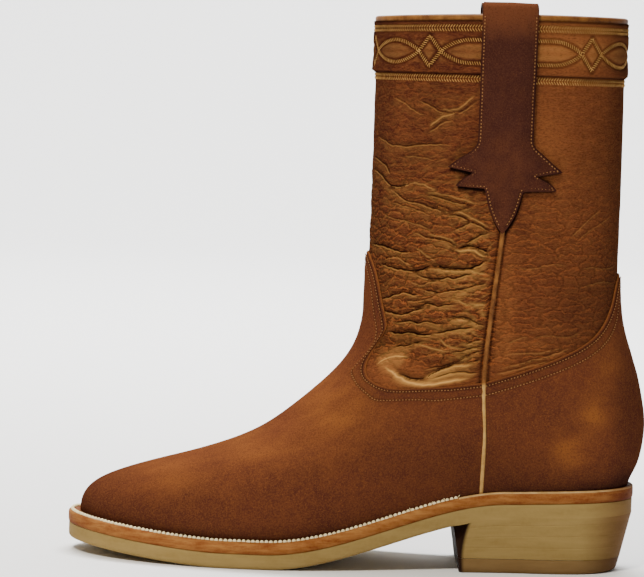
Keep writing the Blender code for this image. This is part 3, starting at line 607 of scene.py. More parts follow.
def crease_relief(u, v):
    """Height, painted shade and painted highlight of the creases at flat places, and what draws their lines.

    The last result holds, for each place, the signed distance to its nearest crease in mm, that crease's
    strength where it is a trough, and its strength where it is a raised fold.
    """
    height, dark, wear_and_highlight = np.zeros_like(u), np.zeros_like(u), np.zeros_like(u)
    nearest, lines = np.full(u.shape, 1e9), np.zeros(u.shape + (3,))
    for depth, width, path in crease_paths():
        if path[:, 0].max() < u.min() - 20.0:
            path = path + [math.tau * FLAT_RADIUS, 0.0]
        path = smooth_path(path)
        path[:, 1] += 0.5 * gradient_noise(path[:, 0] / 2.3, path[:, 1] / 2.3, 61)
        where, distance, share = path_distance(u, v, path, 4.0 * width)
        fade = smooth_step(share / 0.2) * smooth_step((1.0 - share) / 0.2)
        q = distance / width
        if depth > 0:
            valley = np.exp(-(np.abs(q) ** 1.2) * 1.7)
            pads = hump(np.abs(q), 1.5, 0.8)
            height[where] += depth * fade * (0.36 * pads - 0.55 * valley)
            # Painted shade just above each trough, and painted highlight on its lit lower lip
            dark[where] += 0.22 * depth * fade * hump(q, 0.3, 0.8)
            wear_and_highlight[where] += 0.16 * depth * fade * hump(q, -1.2, 0.7)
        else:
            height[where] -= 0.7 * depth * fade * np.exp(-(np.abs(q) ** 1.4))
            # Painted highlight on a raised fold's crest, and painted shade just above it
            wear_and_highlight[where] -= 0.3 * depth * fade * hump(q, 0.0, 0.6)
            dark[where] -= 0.25 * depth * fade * hump(q, 1.2, 0.5)
        closer = np.abs(distance) < nearest[where]
        closer_where = tuple(index[closer] for index in where)
        strength = (fade * smooth_step((2.6 - np.abs(distance)) / 1.2))[closer]
        nearest[closer_where] = np.abs(distance)[closer]
        lines[closer_where + (0,)] = distance[closer]
        lines[closer_where + (1,)] = np.clip(depth, 0.0, None) * strength
        lines[closer_where + (2,)] = np.clip(-depth, 0.0, None) * strength
    return height, dark, wear_and_highlight, lines


def smooth_path(path):
    """A path with points between its own, rounded by a smooth curve."""
    share = np.linspace(0.0, 1.0, len(path))
    table = np.column_stack([share, path])
    return spline(table, np.linspace(0.0, 1.0, 5 * len(path)))


LIT_LIP_BELOW = 0.75
WRINKLES = (
    # seed, length, tallness, sharpness, depth
    (3, 15.0, 4.6, 0.13, 0.26),
    (7, 8.0, 2.6, 0.18, 0.15),
    (11, 26.0, 8.5, 0.09, 0.28),
    (17, 6.0, 4.4, 0.16, 0.14),
)


def wrinkle_relief(u, v, strength):
    """Height, painted shade and painted highlight of the small wrinkles between the main creases. Lengths
    are in mm.
    """
    height, dark, wear_and_highlight = np.zeros_like(u), np.zeros_like(u), np.zeros_like(u)
    for seed, long, tall, sharp, deep in WRINKLES:
        bend = gradient_noise(u / 21.0 + 5.0, v / 13.0, seed + 1)
        slant = 0.5 * gradient_noise(u / 40.0, v / 30.0 + 9.0, seed + 2)
        across, up = u / long + 0.9 * bend, v / tall + 1.1 * bend + slant * u / 12.0
        field = gradient_noise(across, up, seed)
        below = gradient_noise(across, up + LIT_LIP_BELOW / tall, seed)
        patchy = 0.55 + 0.45 * smooth_step(0.5 + gradient_noise(u / 17.0, v / 12.0, seed + 4))
        line = np.exp(-np.abs(field) / sharp)
        height -= deep * line * patchy
        # Painted shade along each wrinkle, and painted highlight on its lit lower lip
        dark += 1.5 * deep * patchy * hump(field, 0.0, 0.7 * sharp)
        wear_and_highlight += 0.9 * deep * patchy * hump(below, 0.0, 0.7 * sharp)
    return height * strength, dark * strength, wear_and_highlight * strength


# Materials


def linear(colour):
    """Linear RGBA of an sRGB colour given as 0 to 255."""
    shares = [c / 255 for c in colour]
    return tuple(((c + 0.055) / 1.055) ** 2.4 if c > 10 / 255 else c / 12.92 for c in shares) + (1.0,)


class Finish:
    """A material and its node tree, with short calls to put nodes into it."""

    def __init__(self, name, roughness, **extras):
        self.material = bpy.data.materials.new(name)
        self.material.use_nodes = True
        self.tree = self.material.node_tree
        self.shader = self.tree.nodes["Principled BSDF"]
        self.shader.inputs["Roughness"].default_value = roughness
        self.shader.inputs["Metallic"].default_value = 0.0
        for socket, value in extras.items():
            self.shader.inputs[socket.replace("_", " ")].default_value = value
        self.place = self.put("TexCoord").outputs["Object"]

    def put(self, kind, sockets=None, **settings):
        """Adds a node, with values or links for its sockets."""
        node = self.tree.nodes.new("ShaderNode" + kind)
        for key, value in settings.items():
            setattr(node, key, value)
        for socket, value in (sockets or {}).items():
            if isinstance(value, bpy.types.NodeSocket):
                self.tree.links.new(value, node.inputs[socket])
            else:
                node.inputs[socket].default_value = value
        return node

    def noise(self, scale, detail=3.0, roughness=0.55, vector=None, distortion=0.0):
        """Noise between 0 and 1 with features about 1/scale metres wide."""
        sockets = {"Vector": vector or self.place, "Scale": scale, "Detail": detail}
        sockets.update({"Roughness": roughness, "Distortion": distortion})
        return self.put("TexNoise", sockets).outputs["Fac"]

    def stretch(self, low, high, value, into=(0.0, 1.0)):
        """Maps a value's range from low..high to another one, clamped."""
        sockets = {"Value": value, "From Min": low, "From Max": high, "To Min": into[0], "To Max": into[1]}
        return self.put("MapRange", sockets).outputs["Result"]

    def maths(self, operation, a, b=0.0):
        """One sum of two values, or of one."""
        return self.put("Math", {0: a, 1: b}, operation=operation).outputs[0]

    def times(self, *values):
        """The product of values."""
        product = values[0]
        for value in values[1:]:
            product = self.maths("MULTIPLY", product, value)
        return product

    def line(self, away, middle, reach):
        """1 where a signed distance is at its middle, falling to 0 this far off."""
        return self.stretch(reach, 0.0, self.maths("ABSOLUTE", self.maths("SUBTRACT", away, middle)))

    def fact(self, name, kind="Fac"):
        """A value stored on the mesh's points, or three of them as kind Vector."""
        return self.put("Attribute", attribute_name=name).outputs[kind]

    def mix(self, share, a, b, blend="MIX"):
        """A blend of two colours."""
        node = self.put("Mix", data_type="RGBA", blend_type=blend)
        for socket, value in ((0, share), (6, a), (7, b)):
            if isinstance(value, bpy.types.NodeSocket):
                self.tree.links.new(value, node.inputs[socket])
            else:
                node.inputs[socket].default_value = value
        return node.outputs[2]

    def colour(self, value):
        """Sets the base colour."""
        self.tree.links.new(value, self.shader.inputs["Base Color"])

    def rough(self, value):
        """Links the roughness to a value."""
        self.tree.links.new(value, self.shader.inputs["Roughness"])

    def bump(self, *layers):
        """Stacks bumps, each a height value, its distance in metres and its strength."""
        below = None
        for height, distance, strength in layers:
            sockets = {"Height": height, "Distance": distance, "Strength": strength}
            if below:
                sockets["Normal"] = below
            below = self.put("Bump", sockets).outputs["Normal"]
        self.tree.links.new(below, self.shader.inputs["Normal"])


# Deepest tint of the shade on each kind of finish
SMOOTH_SHADE = (0.3, 0.34, 0.5)
ROUGH_SHADE = (0.34, 0.38, 0.55)
PLAIN_SHADE = (0.36, 0.22, 0.17)
# Colour of the heel breast's recess: its darker dye with painted shade under the outsole
DYE_AND_SHADE = (38, 22, 15)


def shaded(finish, colour, deepest):
    """The colour multiplied towards a deep tint where the mesh's shade value is high."""
    shade = finish.stretch(0.0, 1.0, finish.fact("shade"))
    tint = finish.mix(shade, (1.0, 1.0, 1.0, 1.0), deepest + (1.0,))
    return finish.mix(1.0, colour, tint, "MULTIPLY")


def rough_out_finish(name, dark, middle, light, wear_and_highlight):
    """Napped leather: blotches, fine nap, and lighter places where the mesh's tone asks: wear and the cut
    edge on the foot, painted light on the strap.
    """
    finish = Finish(name, 0.95, Specular_IOR_Level=0.0)
    blotch = finish.stretch(0.25, 0.8, finish.noise(30.0, 4.0, 0.55))
    cloud = finish.stretch(0.32, 0.7, finish.noise(160.0, 5.0, 0.65))
    nap = finish.noise(1200.0, 3.0, 0.8)
    speck = finish.noise(1500.0, 2.0, 0.7)
    colour = finish.mix(blotch, linear(dark), linear(middle))
    colour = finish.mix(finish.times(cloud, 0.35), colour, linear(light))
    colour = finish.mix(finish.fact("tone"), colour, linear(wear_and_highlight))
    colour = finish.mix(finish.stretch(0.5, 0.62, nap, (0.0, 0.55)), colour, linear(light))
    colour = finish.mix(finish.stretch(0.5, 0.38, nap, (0.0, 0.55)), colour, linear(dark))
    colour = finish.mix(finish.stretch(0.6, 0.72, speck, (0.0, 0.55)), colour, linear(wear_and_highlight))
    finish.colour(shaded(finish, colour, ROUGH_SHADE))
    finish.bump((cloud, 0.0004, 0.5), (nap, 0.0003, 0.6), (speck, 0.00012, 0.6))
    return finish.material


# Colours of the smooth leather: painted light on its net of cells, painted highlights on ridges, painted
# shade in valleys and net lines, and dark grain cracks
LIT = (150, 84, 44)
DEEP = (44, 19, 13)
RIDGE_HIGHLIGHT = (206, 154, 84)
VALLEY = (26, 11, 7)
CRACK = (44, 18, 9)
NET = (
    # cells to a mm along and up, strength, wander in mm
    (0.085, 0.26, 0.75, 6.8),
    (0.2, 0.6, 0.2, 3.0),
)
LIT_EDGE_BELOW = 0.6


def net_edge(finish, places, long, tall, lower):
    """Distance to the nearest edge of a net of cells that is moved this many millimetres down."""
    sockets = {"Vector": places, "Location": (0.0, lower * tall, 0.0), "Scale": (long, tall, 1.0)}
    cells = finish.put("Mapping", sockets).outputs["Vector"]
    settings = {"voronoi_dimensions": "2D", "feature": "DISTANCE_TO_EDGE"}
    return finish.put("TexVoronoi", {"Vector": cells, "Scale": 1.0}, **settings).outputs["Distance"]


def smooth_finish(name, dark, middle, light):
    """Oiled smooth leather: pull-up tones with painted light, painted shade and highlights on its folds, and
    a fine crackled grain.
    """
    finish = Finish(name, 0.5, Specular_IOR_Level=0.0)
    flat = finish.fact("flat", "Vector")
    stretched = finish.put("Mapping", {"Vector": flat, "Scale": (0.42, 1.1, 1.0)}).outputs["Vector"]
    net = finish.fact("net")
    blotch = finish.stretch(0.34, 0.68, finish.noise(0.03, 5.0, 0.6, flat))
    streak = finish.stretch(0.36, 0.68, finish.noise(0.3, 4.0, 0.65, stretched, 0.8))
    grain = finish.noise(1.5, 3.0, 0.7, stretched, 0.5)
    colour = finish.mix(blotch, linear(dark), linear(middle))
    colour = finish.mix(finish.times(streak, 0.45), colour, linear(light))
    colour = finish.mix(finish.fact("tone"), colour, linear(light))
    colour = finish.mix(finish.stretch(0.5, 0.68, grain, (0.0, 0.4)), colour, linear(light))
    colour = finish.mix(finish.stretch(0.5, 0.34, grain, (0.0, 0.55)), colour, linear(CRACK))
    sockets = {"Vector": flat, "Scale": 0.22, "Detail": 4.0, "Roughness": 0.6}
    warp = finish.put("TexNoise", sockets).outputs["Color"]
    heights = []
    for long, tall, strength, wander in NET:
        moved = finish.put("VectorMath", {0: warp, "Scale": wander}, operation="SCALE").outputs["Vector"]
        moved = finish.put("VectorMath", {0: flat, 1: moved}, operation="ADD").outputs["Vector"]
        edge = net_edge(finish, moved, long, tall, 0.0)
        edge_below = net_edge(finish, moved, long, tall, LIT_EDGE_BELOW)
        # Painted light on the lit lower lip of each cell edge, and painted shade along the edge itself
        lit = finish.times(finish.stretch(0.16, 0.05, edge_below), finish.stretch(0.05, 0.12, edge))
        colour = finish.mix(finish.times(lit, net, strength), colour, linear(LIT))
        line = finish.times(finish.stretch(0.13, 0.0, edge), net, strength)
        colour = finish.mix(line, colour, linear(DEEP))
        heights.append(finish.times(finish.stretch(0.0, 0.3, edge), net))
    # Painted highlights on raised folds and on the lit lower lips of troughs; painted shade in valleys and
    # along trough lines
    away, trough, raised = finish.put("SeparateXYZ", {"Vector": finish.fact("fold", "Vector")}).outputs
    deep_line = finish.times(finish.line(away, 0.0, 0.5), trough)
    low_light = finish.times(finish.line(away, -0.75, 0.45), trough)
    top_light = finish.times(finish.line(away, 0.0, 0.6), raised)
    ridge = finish.stretch(0.0, 0.8, finish.fact("ridge"))
    colour = finish.mix(finish.times(ridge, 0.8), colour, linear(RIDGE_HIGHLIGHT))
    colour = finish.mix(finish.stretch(0.0, 1.6, low_light, (0.0, 0.6)), colour, linear(RIDGE_HIGHLIGHT))
    colour = finish.mix(finish.stretch(0.0, 1.4, top_light, (0.0, 0.8)), colour, linear(RIDGE_HIGHLIGHT))
    valley = finish.stretch(0.0, 1.0, finish.fact("valley"))
    colour = finish.mix(finish.times(valley, 0.85), colour, linear(VALLEY))
    colour = finish.mix(finish.stretch(0.0, 1.2, deep_line, (0.0, 0.9)), colour, linear(VALLEY))
    finish.colour(shaded(finish, colour, SMOOTH_SHADE))
    finish.rough(finish.stretch(0.0, 1.0, finish.noise(0.3, 4.0, 0.6, flat), (0.4, 0.6)))
    coarse, fine = heights
    finish.bump((coarse, 0.001, 0.8), (fine, 0.0003, 0.7), (deep_line, -0.0006, 0.8), (grain, 0.0004, 0.6))
    return finish.material


def plain_finish(name, colour, second, roughness, grain, bump, patch=60.0, specular=0.1, layers=1.0):
    """A two-tone material with grain of the given fineness, darker where the mesh says so.

    layers: how many times flatter its patches are than long.
    """
    finish = Finish(name, roughness, Specular_IOR_Level=specular)
    sockets = {"Vector": finish.place, "Scale": (1.0, 1.0, layers)}
    flattened = finish.put("Mapping", sockets).outputs["Vector"]
    cloud = finish.stretch(0.35, 0.68, finish.noise(patch, 5.0, 0.6, flattened))
    fine = finish.noise(grain, 4.0, 0.6)
    mixed = finish.mix(cloud, linear(colour), linear(second))
    mixed = finish.mix(finish.stretch(0.4, 0.7, fine, (0.0, 0.35)), mixed, linear(second))
    # Darker where the mesh asks, as on the heel breast: its dye with painted shade
    mixed = finish.mix(finish.fact("dye_and_shade"), mixed, linear(DYE_AND_SHADE))
    finish.colour(shaded(finish, mixed, PLAIN_SHADE))
    finish.bump((fine, bump, 0.6))
    return finish.material


ROUGH_OUT = rough_out_finish("rough_out", (67, 35, 27), (89, 48, 31), (112, 66, 35), (136, 83, 39))
DARK_ROUGH = rough_out_finish("dark_rough_out", (49, 26, 21), (61, 34, 28), (76, 44, 32), (106, 61, 37))
SMOOTH = smooth_finish("smooth_leather", (56, 26, 20), (75, 37, 26), (120, 72, 40))
SMOOTH_PIPING = plain_finish("smooth_piping", (84, 48, 22), (132, 86, 40), 0.5, 900.0, 0.0001, 160.0)
PIPING = plain_finish("piping", (150, 112, 58), (182, 144, 84), 0.6, 900.0, 0.0002, 220.0)
BEAD = plain_finish("top_bead", (92, 54, 24), (138, 92, 42), 0.5, 900.0, 0.0001, 160.0)
EDGE = plain_finish("edge_leather", (112, 58, 25), (152, 104, 54), 0.7, 800.0, 0.0002, 80.0, 0.05, 5.0)
# Pale colour of the painted highlight along the welt's edge round the heel
SEAT_EDGE_HIGHLIGHT = plain_finish("seat_edge_highlight", (160, 122, 70), (188, 154, 104), 0.8, 900.0, 0.0002, 200.0)
SOLE = plain_finish("sole_rubber", (130, 107, 61), (144, 121, 74), 0.7, 500.0, 0.0001, 30.0, 0.05, 6.0)
LIFT = plain_finish("lift_rubber", (109, 84, 50), (121, 96, 61), 0.7, 500.0, 0.0001, 30.0, 0.05, 6.0)
SUEDE_THREAD = plain_finish("suede_thread", (116, 76, 42), (150, 106, 62), 0.8, 3000.0, 0.0001, 400.0)
COLLAR_THREAD = plain_finish("collar_thread", (132, 92, 42), (186, 142, 78), 0.7, 3000.0, 0.0001, 300.0)
STRAP_THREAD = plain_finish("strap_thread", (112, 74, 40), (150, 106, 60), 0.7, 3000.0, 0.0001, 300.0)
WHITE_THREAD = plain_finish("white_thread", (214, 196, 146), (240, 226, 184), 0.8, 2500.0, 0.0001, 500.0)
LINING = plain_finish("lining", (150, 106, 64), (170, 128, 80), 0.8, 400.0, 0.0002)
DARK_CUT = plain_finish("dark_cut_edge", (30, 14, 10), (42, 21, 14), 0.9, 900.0, 0.0002)


# Pieces


def blob(x, z, middle_x, middle_z, wide, tall):
    """1 at a place on the boot's side, fading out round it. All in mm."""
    return np.exp(-(((x - middle_x) / wide) ** 2) - ((z - middle_z) / tall) ** 2)


def strap_shadow(x, z, u):
    """Darkness close under the strap's edges, at places of the shaft in mm."""
    side_x = np.where(u % (math.tau * FLAT_RADIUS) < math.pi * FLAT_RADIUS, strap_x(1), strap_x(-1))
    total = 0.0
    for lower in (0.5, 0.9, 1.3, 1.7, 2.1):
        down = (COLLAR_Z - (z + lower) * MM) / STRAP_LENGTH
        across = (x - 0.3 * lower) * MM - side_x
        covered = np.abs(across) < strap_half_width(down, across)
        total = total + 0.34 * (covered & (down < 1.0))
    return total


def shaft_facts(points, u, v, dark, wear_and_highlight):
    """Values that the smooth leather's material reads."""
    x, z = points[..., 0] / MM, points[..., 2] / MM
    cloud = 0.5 + 0.5 * gradient_noise(u / 13.0 + 3.0, v / 7.0, 71)
    # Lighter places: partly the leather's pull-up colour, partly painted light on the lit lobe, the roll
    # above the foot's edge, beside the seam, high on the side, on the collar behind the strap and over the
    # back panel
    tone = 0.75 * blob(x, z, -79, 109, 11, 12) + 0.35 * blob(x, z, -60, 140, 24, 50) * cloud
    tone = tone + 0.45 * blob(x, z, -60, 101, 30, 8) + 0.65 * blob(x, z, -21, 140, 7, 42)
    tone = tone + 0.5 * blob(x, z, -4, 226, 14, 26) + 0.45 * blob(x, z, -10, 118, 20, 14) * cloud
    tone = tone + 1.2 * blob(x, z, 8, 288, 22, 20)
    tone = tone + 0.25 * smooth_step((x + 16.0) / 12.0)
    shade = 0.35 * smooth_step((x - 6.0) / 36.0) + 0.3 * smooth_step((x - 26.0) / 12.0)
    shade = shade + 0.5 * smooth_step((-77.0 - x) / 16.0) * smooth_step((z - 112.0) / 12.0)
    shade = shade + 0.35 * blob(x, z, 14, 138, 20, 26) + strap_shadow(x, z, u)
    dark = dark + 0.9 * strap_shadow(x, z, u)
    # Strength of the painted highlights on the ridges, greatest on the lit middle of the side and on the
    # bright roll above the foot's edge
    highlight_strength = 0.4 + 0.75 * blob(x, z, -42, 135, 14, 45) + 0.8 * blob(x, z, -55, 102, 26, 8)
    facts = {"tone": np.clip(tone, 0.0, 1.0), "shade": np.clip(shade, 0.0, 1.0)}
    # Painted shade in creases and beside seams, and painted shadow under the strap
    facts["valley"] = np.clip(dark, 0.0, 1.0)
    facts["ridge"] = np.clip(wear_and_highlight * highlight_strength, 0.0, 1.0)
    net = 0.25 + 0.65 * smooth_step((225.0 - z) / 60.0) * smooth_step((z - 106.0) / 8.0)
    net = net * np.where(x < -26.0, 1.0, 0.5)
    facts["net"] = net * (0.4 + 0.6 * smooth_step((272.0 - z) / 10.0))
    facts["flat"] = np.stack([u, v, np.zeros_like(u)], axis=-1)
    return facts


# Lowest row of the shaft's panels, and millimetres from a seam for each radian round the boot
PANEL_FOOT = 0.23
SEAM_RADIUS = 60.0


def make_shaft_panel(name, start, columns, rows, seed):
    """A smooth panel of the shaft between its side seams, from under the foot's leather to the collar band.

    start: -1 for the front panel, from the medial seam to the lateral one, and 1 for the back panel.
    """
    high = 1.0 - (BAND_DEPTH - 0.0006) / SHAFT_HEIGHT
    rise = np.linspace(PANEL_FOOT, high, rows)[:, None]
    seam = seam_angle(rise)
    first, last = (-seam, seam) if start < 0 else (seam, math.tau - seam)
    even = np.linspace(0.0, 1.0, columns)[None, :]
    share = even - start * 0.55 * even * (1.0 - even)
    angle = first + share * (last - first)
    rise = np.broadcast_to(rise, angle.shape)
    base, out = shape(angle, rise), normal(angle, rise)
    u, v = flat_place(angle, base)
    folds, fold_dark, fold_highlight, lines = crease_relief(u, v)
    on_front = 1.0 if start < 0 else 0.3
    level = smooth_step((v - 108.0) / 8.0) * (1.0 - 0.62 * smooth_step((v - 192.0) / 50.0))
    wrinkles, wrinkle_dark, wrinkle_highlight = wrinkle_relief(u + 31.0 * seed, v, on_front * level)
    swell = 0.45 * gradient_noise(u / 34.0 + seed, v / 12.0, 21 + seed) * on_front * level
    under_band = smooth_step((262.5 - v) / 8.0)
    from_seam = np.minimum(angle - first, last - angle) * SEAM_RADIUS
    beside = smooth_step((from_seam - 1.2) / 3.0)
    height = (folds + wrinkles + swell) * under_band * beside
    height = height + 0.6 * blob(base[..., 0] / MM, v, -80.0, 110.0, 10.0, 10.0)
    height = height - 0.5 * hump(from_seam, 1.8, 0.7) + 0.4 * hump(from_seam, 4.6, 2.2)
    height = np.clip(height, -1.5, 2.4)
    # Painted shade and painted highlights of the folds and wrinkles, with painted shade beside each seam and
    # under the collar band's foot
    dark = (fold_dark + wrinkle_dark * 0.6) * under_band * beside
    dark = dark + 0.8 * hump(from_seam, 1.6, 0.5) + 0.45 * smooth_step((v - 266.0) / 1.5)
    wear_and_highlight = (fold_highlight + wrinkle_highlight * 0.8) * under_band * beside
    points = base + out * (height * MM)[..., None]
    facts = shaft_facts(base, u, v, dark, wear_and_highlight)
    lines[..., 1:] *= (under_band * beside)[..., None]
    facts["fold"] = lines
    return add_grid(name, points, SMOOTH, facts)


def make_shaft():
    """Front and back panels of the shaft."""
    settle(make_shaft_panel("shaft_front", -1, 340, 285, 0), "smooth_leather", "upper")
    settle(make_shaft_panel("shaft_back", 1, 300, 250, 1), "smooth_leather")


# Rows of stitches along the top edge of the foot's leather, and worn patches on it, all in millimetres
EDGE_STITCH_DOWN = 1.9
INNER_STITCH_DOWN = 6.6
WORN_PATCHES = (
    # strength, x and z of the middle, reach along x and z
    (0.65, -106, 82, 20, 17),
    (0.45, -152, 60, 26, 9),
    (0.4, -196, 44, 26, 8),
    (0.75, 15, 66, 9, 9),
    (0.7, 27, 86, 8, 9),
    (0.35, 34, 112, 8, 14),
)


def foot_rows(column_length, slant):
    """Distances down from the top edge in mm, for each column: close ones at the edge's stitching.

    slant: how squarely each column crosses the top edge, so that near rows keep their distance to it.
    """
    near = [0.0, 0.2, 0.45, 0.75, 1.05, 1.35, 1.6, 1.85, 2.15, 2.6]
    near = np.array(near + [3.3, 4.2, 5.1, 5.7, 6.1, 6.45, 6.8, 7.2, 7.8, 8.8])
    far = np.linspace(0.0, 1.0, 110)[1:]
    near = near[:, None] / slant[None, :]
    below = near[-1] + far[:, None] * (column_length[None, :] - near[-1])
    return np.vstack([near, below])


def make_foot_panel(name, first, last, columns):
    """Rough-out leather over the foot between two columns, with its turned edge and two stitch grooves."""
    share = np.linspace(first, last, columns)
    signed = np.where(share > 1.0, share - 2.0, share)
    steps = np.linspace(0.0, 1.0, 60)
    path = np.stack([shape(*foot_place(signed, row)) for row in steps])
    step = np.linalg.norm(np.diff(path, axis=0), axis=2)
    length = np.vstack([np.zeros((1, columns)), np.cumsum(step, axis=0)]) / MM
    edge, inward = np.gradient(path[-1], axis=0), path[-4] - path[-1]
    crossing = np.linalg.norm(np.cross(edge, inward), axis=1)
    slant = crossing / (np.linalg.norm(edge, axis=1) * np.linalg.norm(inward, axis=1))
    slant = np.pad(np.clip(slant, 0.45, 1.0), 4, mode="edge")
    slant = np.convolve(slant, np.full(9, 1.0 / 9.0), mode="valid")
    down = foot_rows(length[-1], slant)
    row = np.empty_like(down)
    for i in range(columns):
        row[:, i] = np.interp(length[-1, i] - down[:, i], length[:, i], steps)
    angle, rise = foot_place(signed[None, :], row)
    base, out = shape(angle, rise), normal(angle, rise)
    u, v = flat_place(angle, base)
    left = length[-1][None, :] - down
    down = down * slant[None, :]
    lip = 1.0 - np.exp(-((down / 1.1) ** 1.5))
    groove = 0.5 * hump(down, EDGE_STITCH_DOWN, 0.6) + 0.36 * hump(down, INNER_STITCH_DOWN, 0.5)
    puff = 0.25 * hump(down, 4.3, 1.5) + 0.2 * hump(down, 9.5, 2.2)
    x, y, z = (base[..., k] / MM for k in range(3))
    soft = 0.35 * gradient_noise(u / 16.0, v / 14.0 + 3.0, 31)
    soft = soft + 0.5 * gradient_noise(x / 38.0, y / 30.0 + z / 30.0, 33)
    soft = soft * smooth_step((down - 5.0) / 12.0) * smooth_step(left / 10.0)
    height = VAMP_OUT / MM * (0.4 + 0.6 * lip) - groove + puff + soft
    points = base + out * (height * MM)[..., None]
    from_feather = left / length[-1][None, :]
    wear_and_highlight = sum(strength * blob(x, z, *patch) for strength, *patch in WORN_PATCHES)
    blot = 0.5 + 0.5 * gradient_noise(u / 9.0 + 4.0, v / 9.0, 41)
    tone = np.clip(wear_and_highlight * (0.2 + 1.1 * blot), 0.0, 0.85)
    # Lighter along the cut top edge: partly the raw edge's own colour, partly painted light where the edge
    # lip catches the light
    tone = np.maximum(tone, 0.6 * hump(down, 0.0, 0.45))
    shade = (0.7 + 0.3 * smooth_step((x + 70.0) / 60.0)) * np.exp(-((from_feather / 0.1) ** 1.3))
    shade = shade + 0.75 * hump(down, 1.7, 0.85)
    shade = shade + 0.4 * hump(down, INNER_STITCH_DOWN, 0.6) + 0.5 * smooth_step((x - 32.0) / 16.0)
    shade = shade + 0.15 * hump(down, 4.3, 2.5)
    shade = shade + 0.4 * smooth_step((-100.0 - x) / 12.0) * smooth_step((z - 112.0) / 10.0)
    shade = shade + 0.25 * blob(x, z, -54, 58, 40, 16) + 0.25 * blob(x, z, -16, 54, 24, 14)
    shade = shade + 0.3 * smooth_step((x + 10.0) / 40.0) * smooth_step((62.0 - z) / 18.0)
    facts = {"tone": tone, "shade": np.clip(shade, 0.0, 1.0)}
    wall = base[:1] + out[:1] * (0.0002 * np.ones_like(height[:1]))[..., None]
    points = np.vstack([wall, points])
    facts = {key: np.vstack([values[:1], values]) for key, values in facts.items()}
    piece = add_grid(name, points, ROUGH_OUT, facts, flip=True)
    return piece, (signed, slant, length, steps)


def foot_line(laid, down):
    """Places and directions off the foot panel along a line this many mm down from its top edge."""
    signed, slant, length, steps = laid
    along = length[-1] - down / slant
    row = np.array([np.interp(along[i], length[:, i], steps) for i in range(len(signed))])
    angle, rise = foot_place(signed, row)
    return np.hstack([skin(angle, rise, VAMP_OUT - 0.0001), normal(angle, rise)])


# Places marked along a path for each stitch on it, and the foot's stitches in metres
STITCH_MARKS = 8
SUEDE_PITCH = 0.0017
SUEDE_THREAD_RADIUS = 0.0003


def stitch_ends(path, pitch, share):
    """Starts and ends of the stitches along a path. share: how much of the pitch is thread."""
    marks = resample(path, pitch / STITCH_MARKS)
    first = np.arange(len(marks) // STITCH_MARKS) * STITCH_MARKS
    last = np.minimum(first + int(round(STITCH_MARKS * share)), len(marks) - 1)
    return marks[first], marks[last]


def add_suede_stitches(name, path):
    """Stitches of the foot's thread along a path of places and outward directions."""
    starts, ends = stitch_ends(path, SUEDE_PITCH, 0.5)
    lifts = starts[:, 3:] * SUEDE_THREAD_RADIUS
    return add_tube_set(name, starts[:, :3], ends[:, :3], lifts, SUEDE_THREAD_RADIUS, SUEDE_THREAD)


def make_foot():
    """Vamp and counter with their stitch rows."""
    vamp, vamp_laid = make_foot_panel("vamp_leather", -SEAM_SHARE + 0.002, SEAM_SHARE - 0.002, 420)
    first, last = SEAM_SHARE + 0.002, 2.0 - SEAM_SHARE - 0.002
    counter, counter_laid = make_foot_panel("counter_leather", first, last, 240)
    settle(vamp, "rough_out", "vamp")
    settle(counter, "rough_out", "counter")
    for name, laid in (("vamp", vamp_laid), ("counter", counter_laid)):
        for word, down in (("edge", EDGE_STITCH_DOWN), ("inner", INNER_STITCH_DOWN)):
            settle(add_suede_stitches(f"{name}_{word}_stitches", foot_line(laid, down)), "rough_out")


BAND_ROWS = 78
BAND_COLUMNS = 940
OVAL_LONG = 75.0
OVAL_SHORT = 30.9
DIAMOND = 12.4
PATTERN_AROUND = 2 * OVAL_LONG + 4 * OVAL_SHORT + 6 * DIAMOND
PATTERN_MIDDLE = 12.1
PATTERN_HALF = 6.25
PATTERN_BACK = 1.6
TOP_ROWS = 24.7
FOOT_ROWS = -2.5


def pattern_lines():
    """The collar's two wavy stitch lines, as mm round from the strap and mm up from the band's foot."""
    lines = []
    for turn in (1.0, -1.0):
        along, up = [], []
        for start, length, pointed in pattern_runs():
            share = np.linspace(0.0, 1.0, 32, endpoint=False)
            from_end = np.minimum(np.minimum(share, 1.0 - share) * length / OVAL_SHORT, 0.5)
            bow = 1.0 - np.abs(2.0 * share - 1.0) if pointed else np.sin(math.pi * from_end) ** 0.85
            tall = PATTERN_HALF * (1.33 if pointed else 1.0)
            along.append(start + share * length - PATTERN_BACK)
            up.append(PATTERN_MIDDLE + turn * tall * bow)
        lines.append(np.column_stack([np.concatenate(along), np.concatenate(up)]))
    return lines


def pattern_runs():
    """Start, length and kind of each oval and diamond, once round from the lateral strap's middle."""
    around = [OVAL_LONG / 2, DIAMOND, OVAL_SHORT, DIAMOND, OVAL_SHORT, DIAMOND, OVAL_LONG, DIAMOND]
    around += [OVAL_SHORT, DIAMOND, OVAL_SHORT, DIAMOND, OVAL_LONG / 2]
    pointed = [False, True] + [False, True] * 5 + [False]
    runs, place = [], OVAL_LONG / 2
    for length, kind in list(zip(around, pointed))[1:-1]:
        runs.append((place, length, kind))
        place += length
    return [(-OVAL_LONG / 2, OVAL_LONG, False)] + runs


def collar_lengths():
    """Angles round the collar, and their distances in mm forward from the lateral strap's middle."""
    start, _ = side_place(1, STRAP_X, COLLAR_Z)
    angle = float(start) - np.linspace(0.0, math.tau, 721)
    ring = shape(angle, 0.94)
    return angle, np.concatenate([[0.0], np.cumsum(np.linalg.norm(np.diff(ring, axis=0), axis=1))]) / MM


def band_place(along, up):
    """Angle and rise on the collar band. along: mm forward from the strap; up: mm from the band's foot."""
    angle, length = collar_lengths()
    scale = length[-1] / PATTERN_AROUND
    rise = 1.0 - (BAND_DEPTH / MM - up) * MM / SHAFT_HEIGHT
    return np.interp((along * scale) % length[-1], length, angle), rise


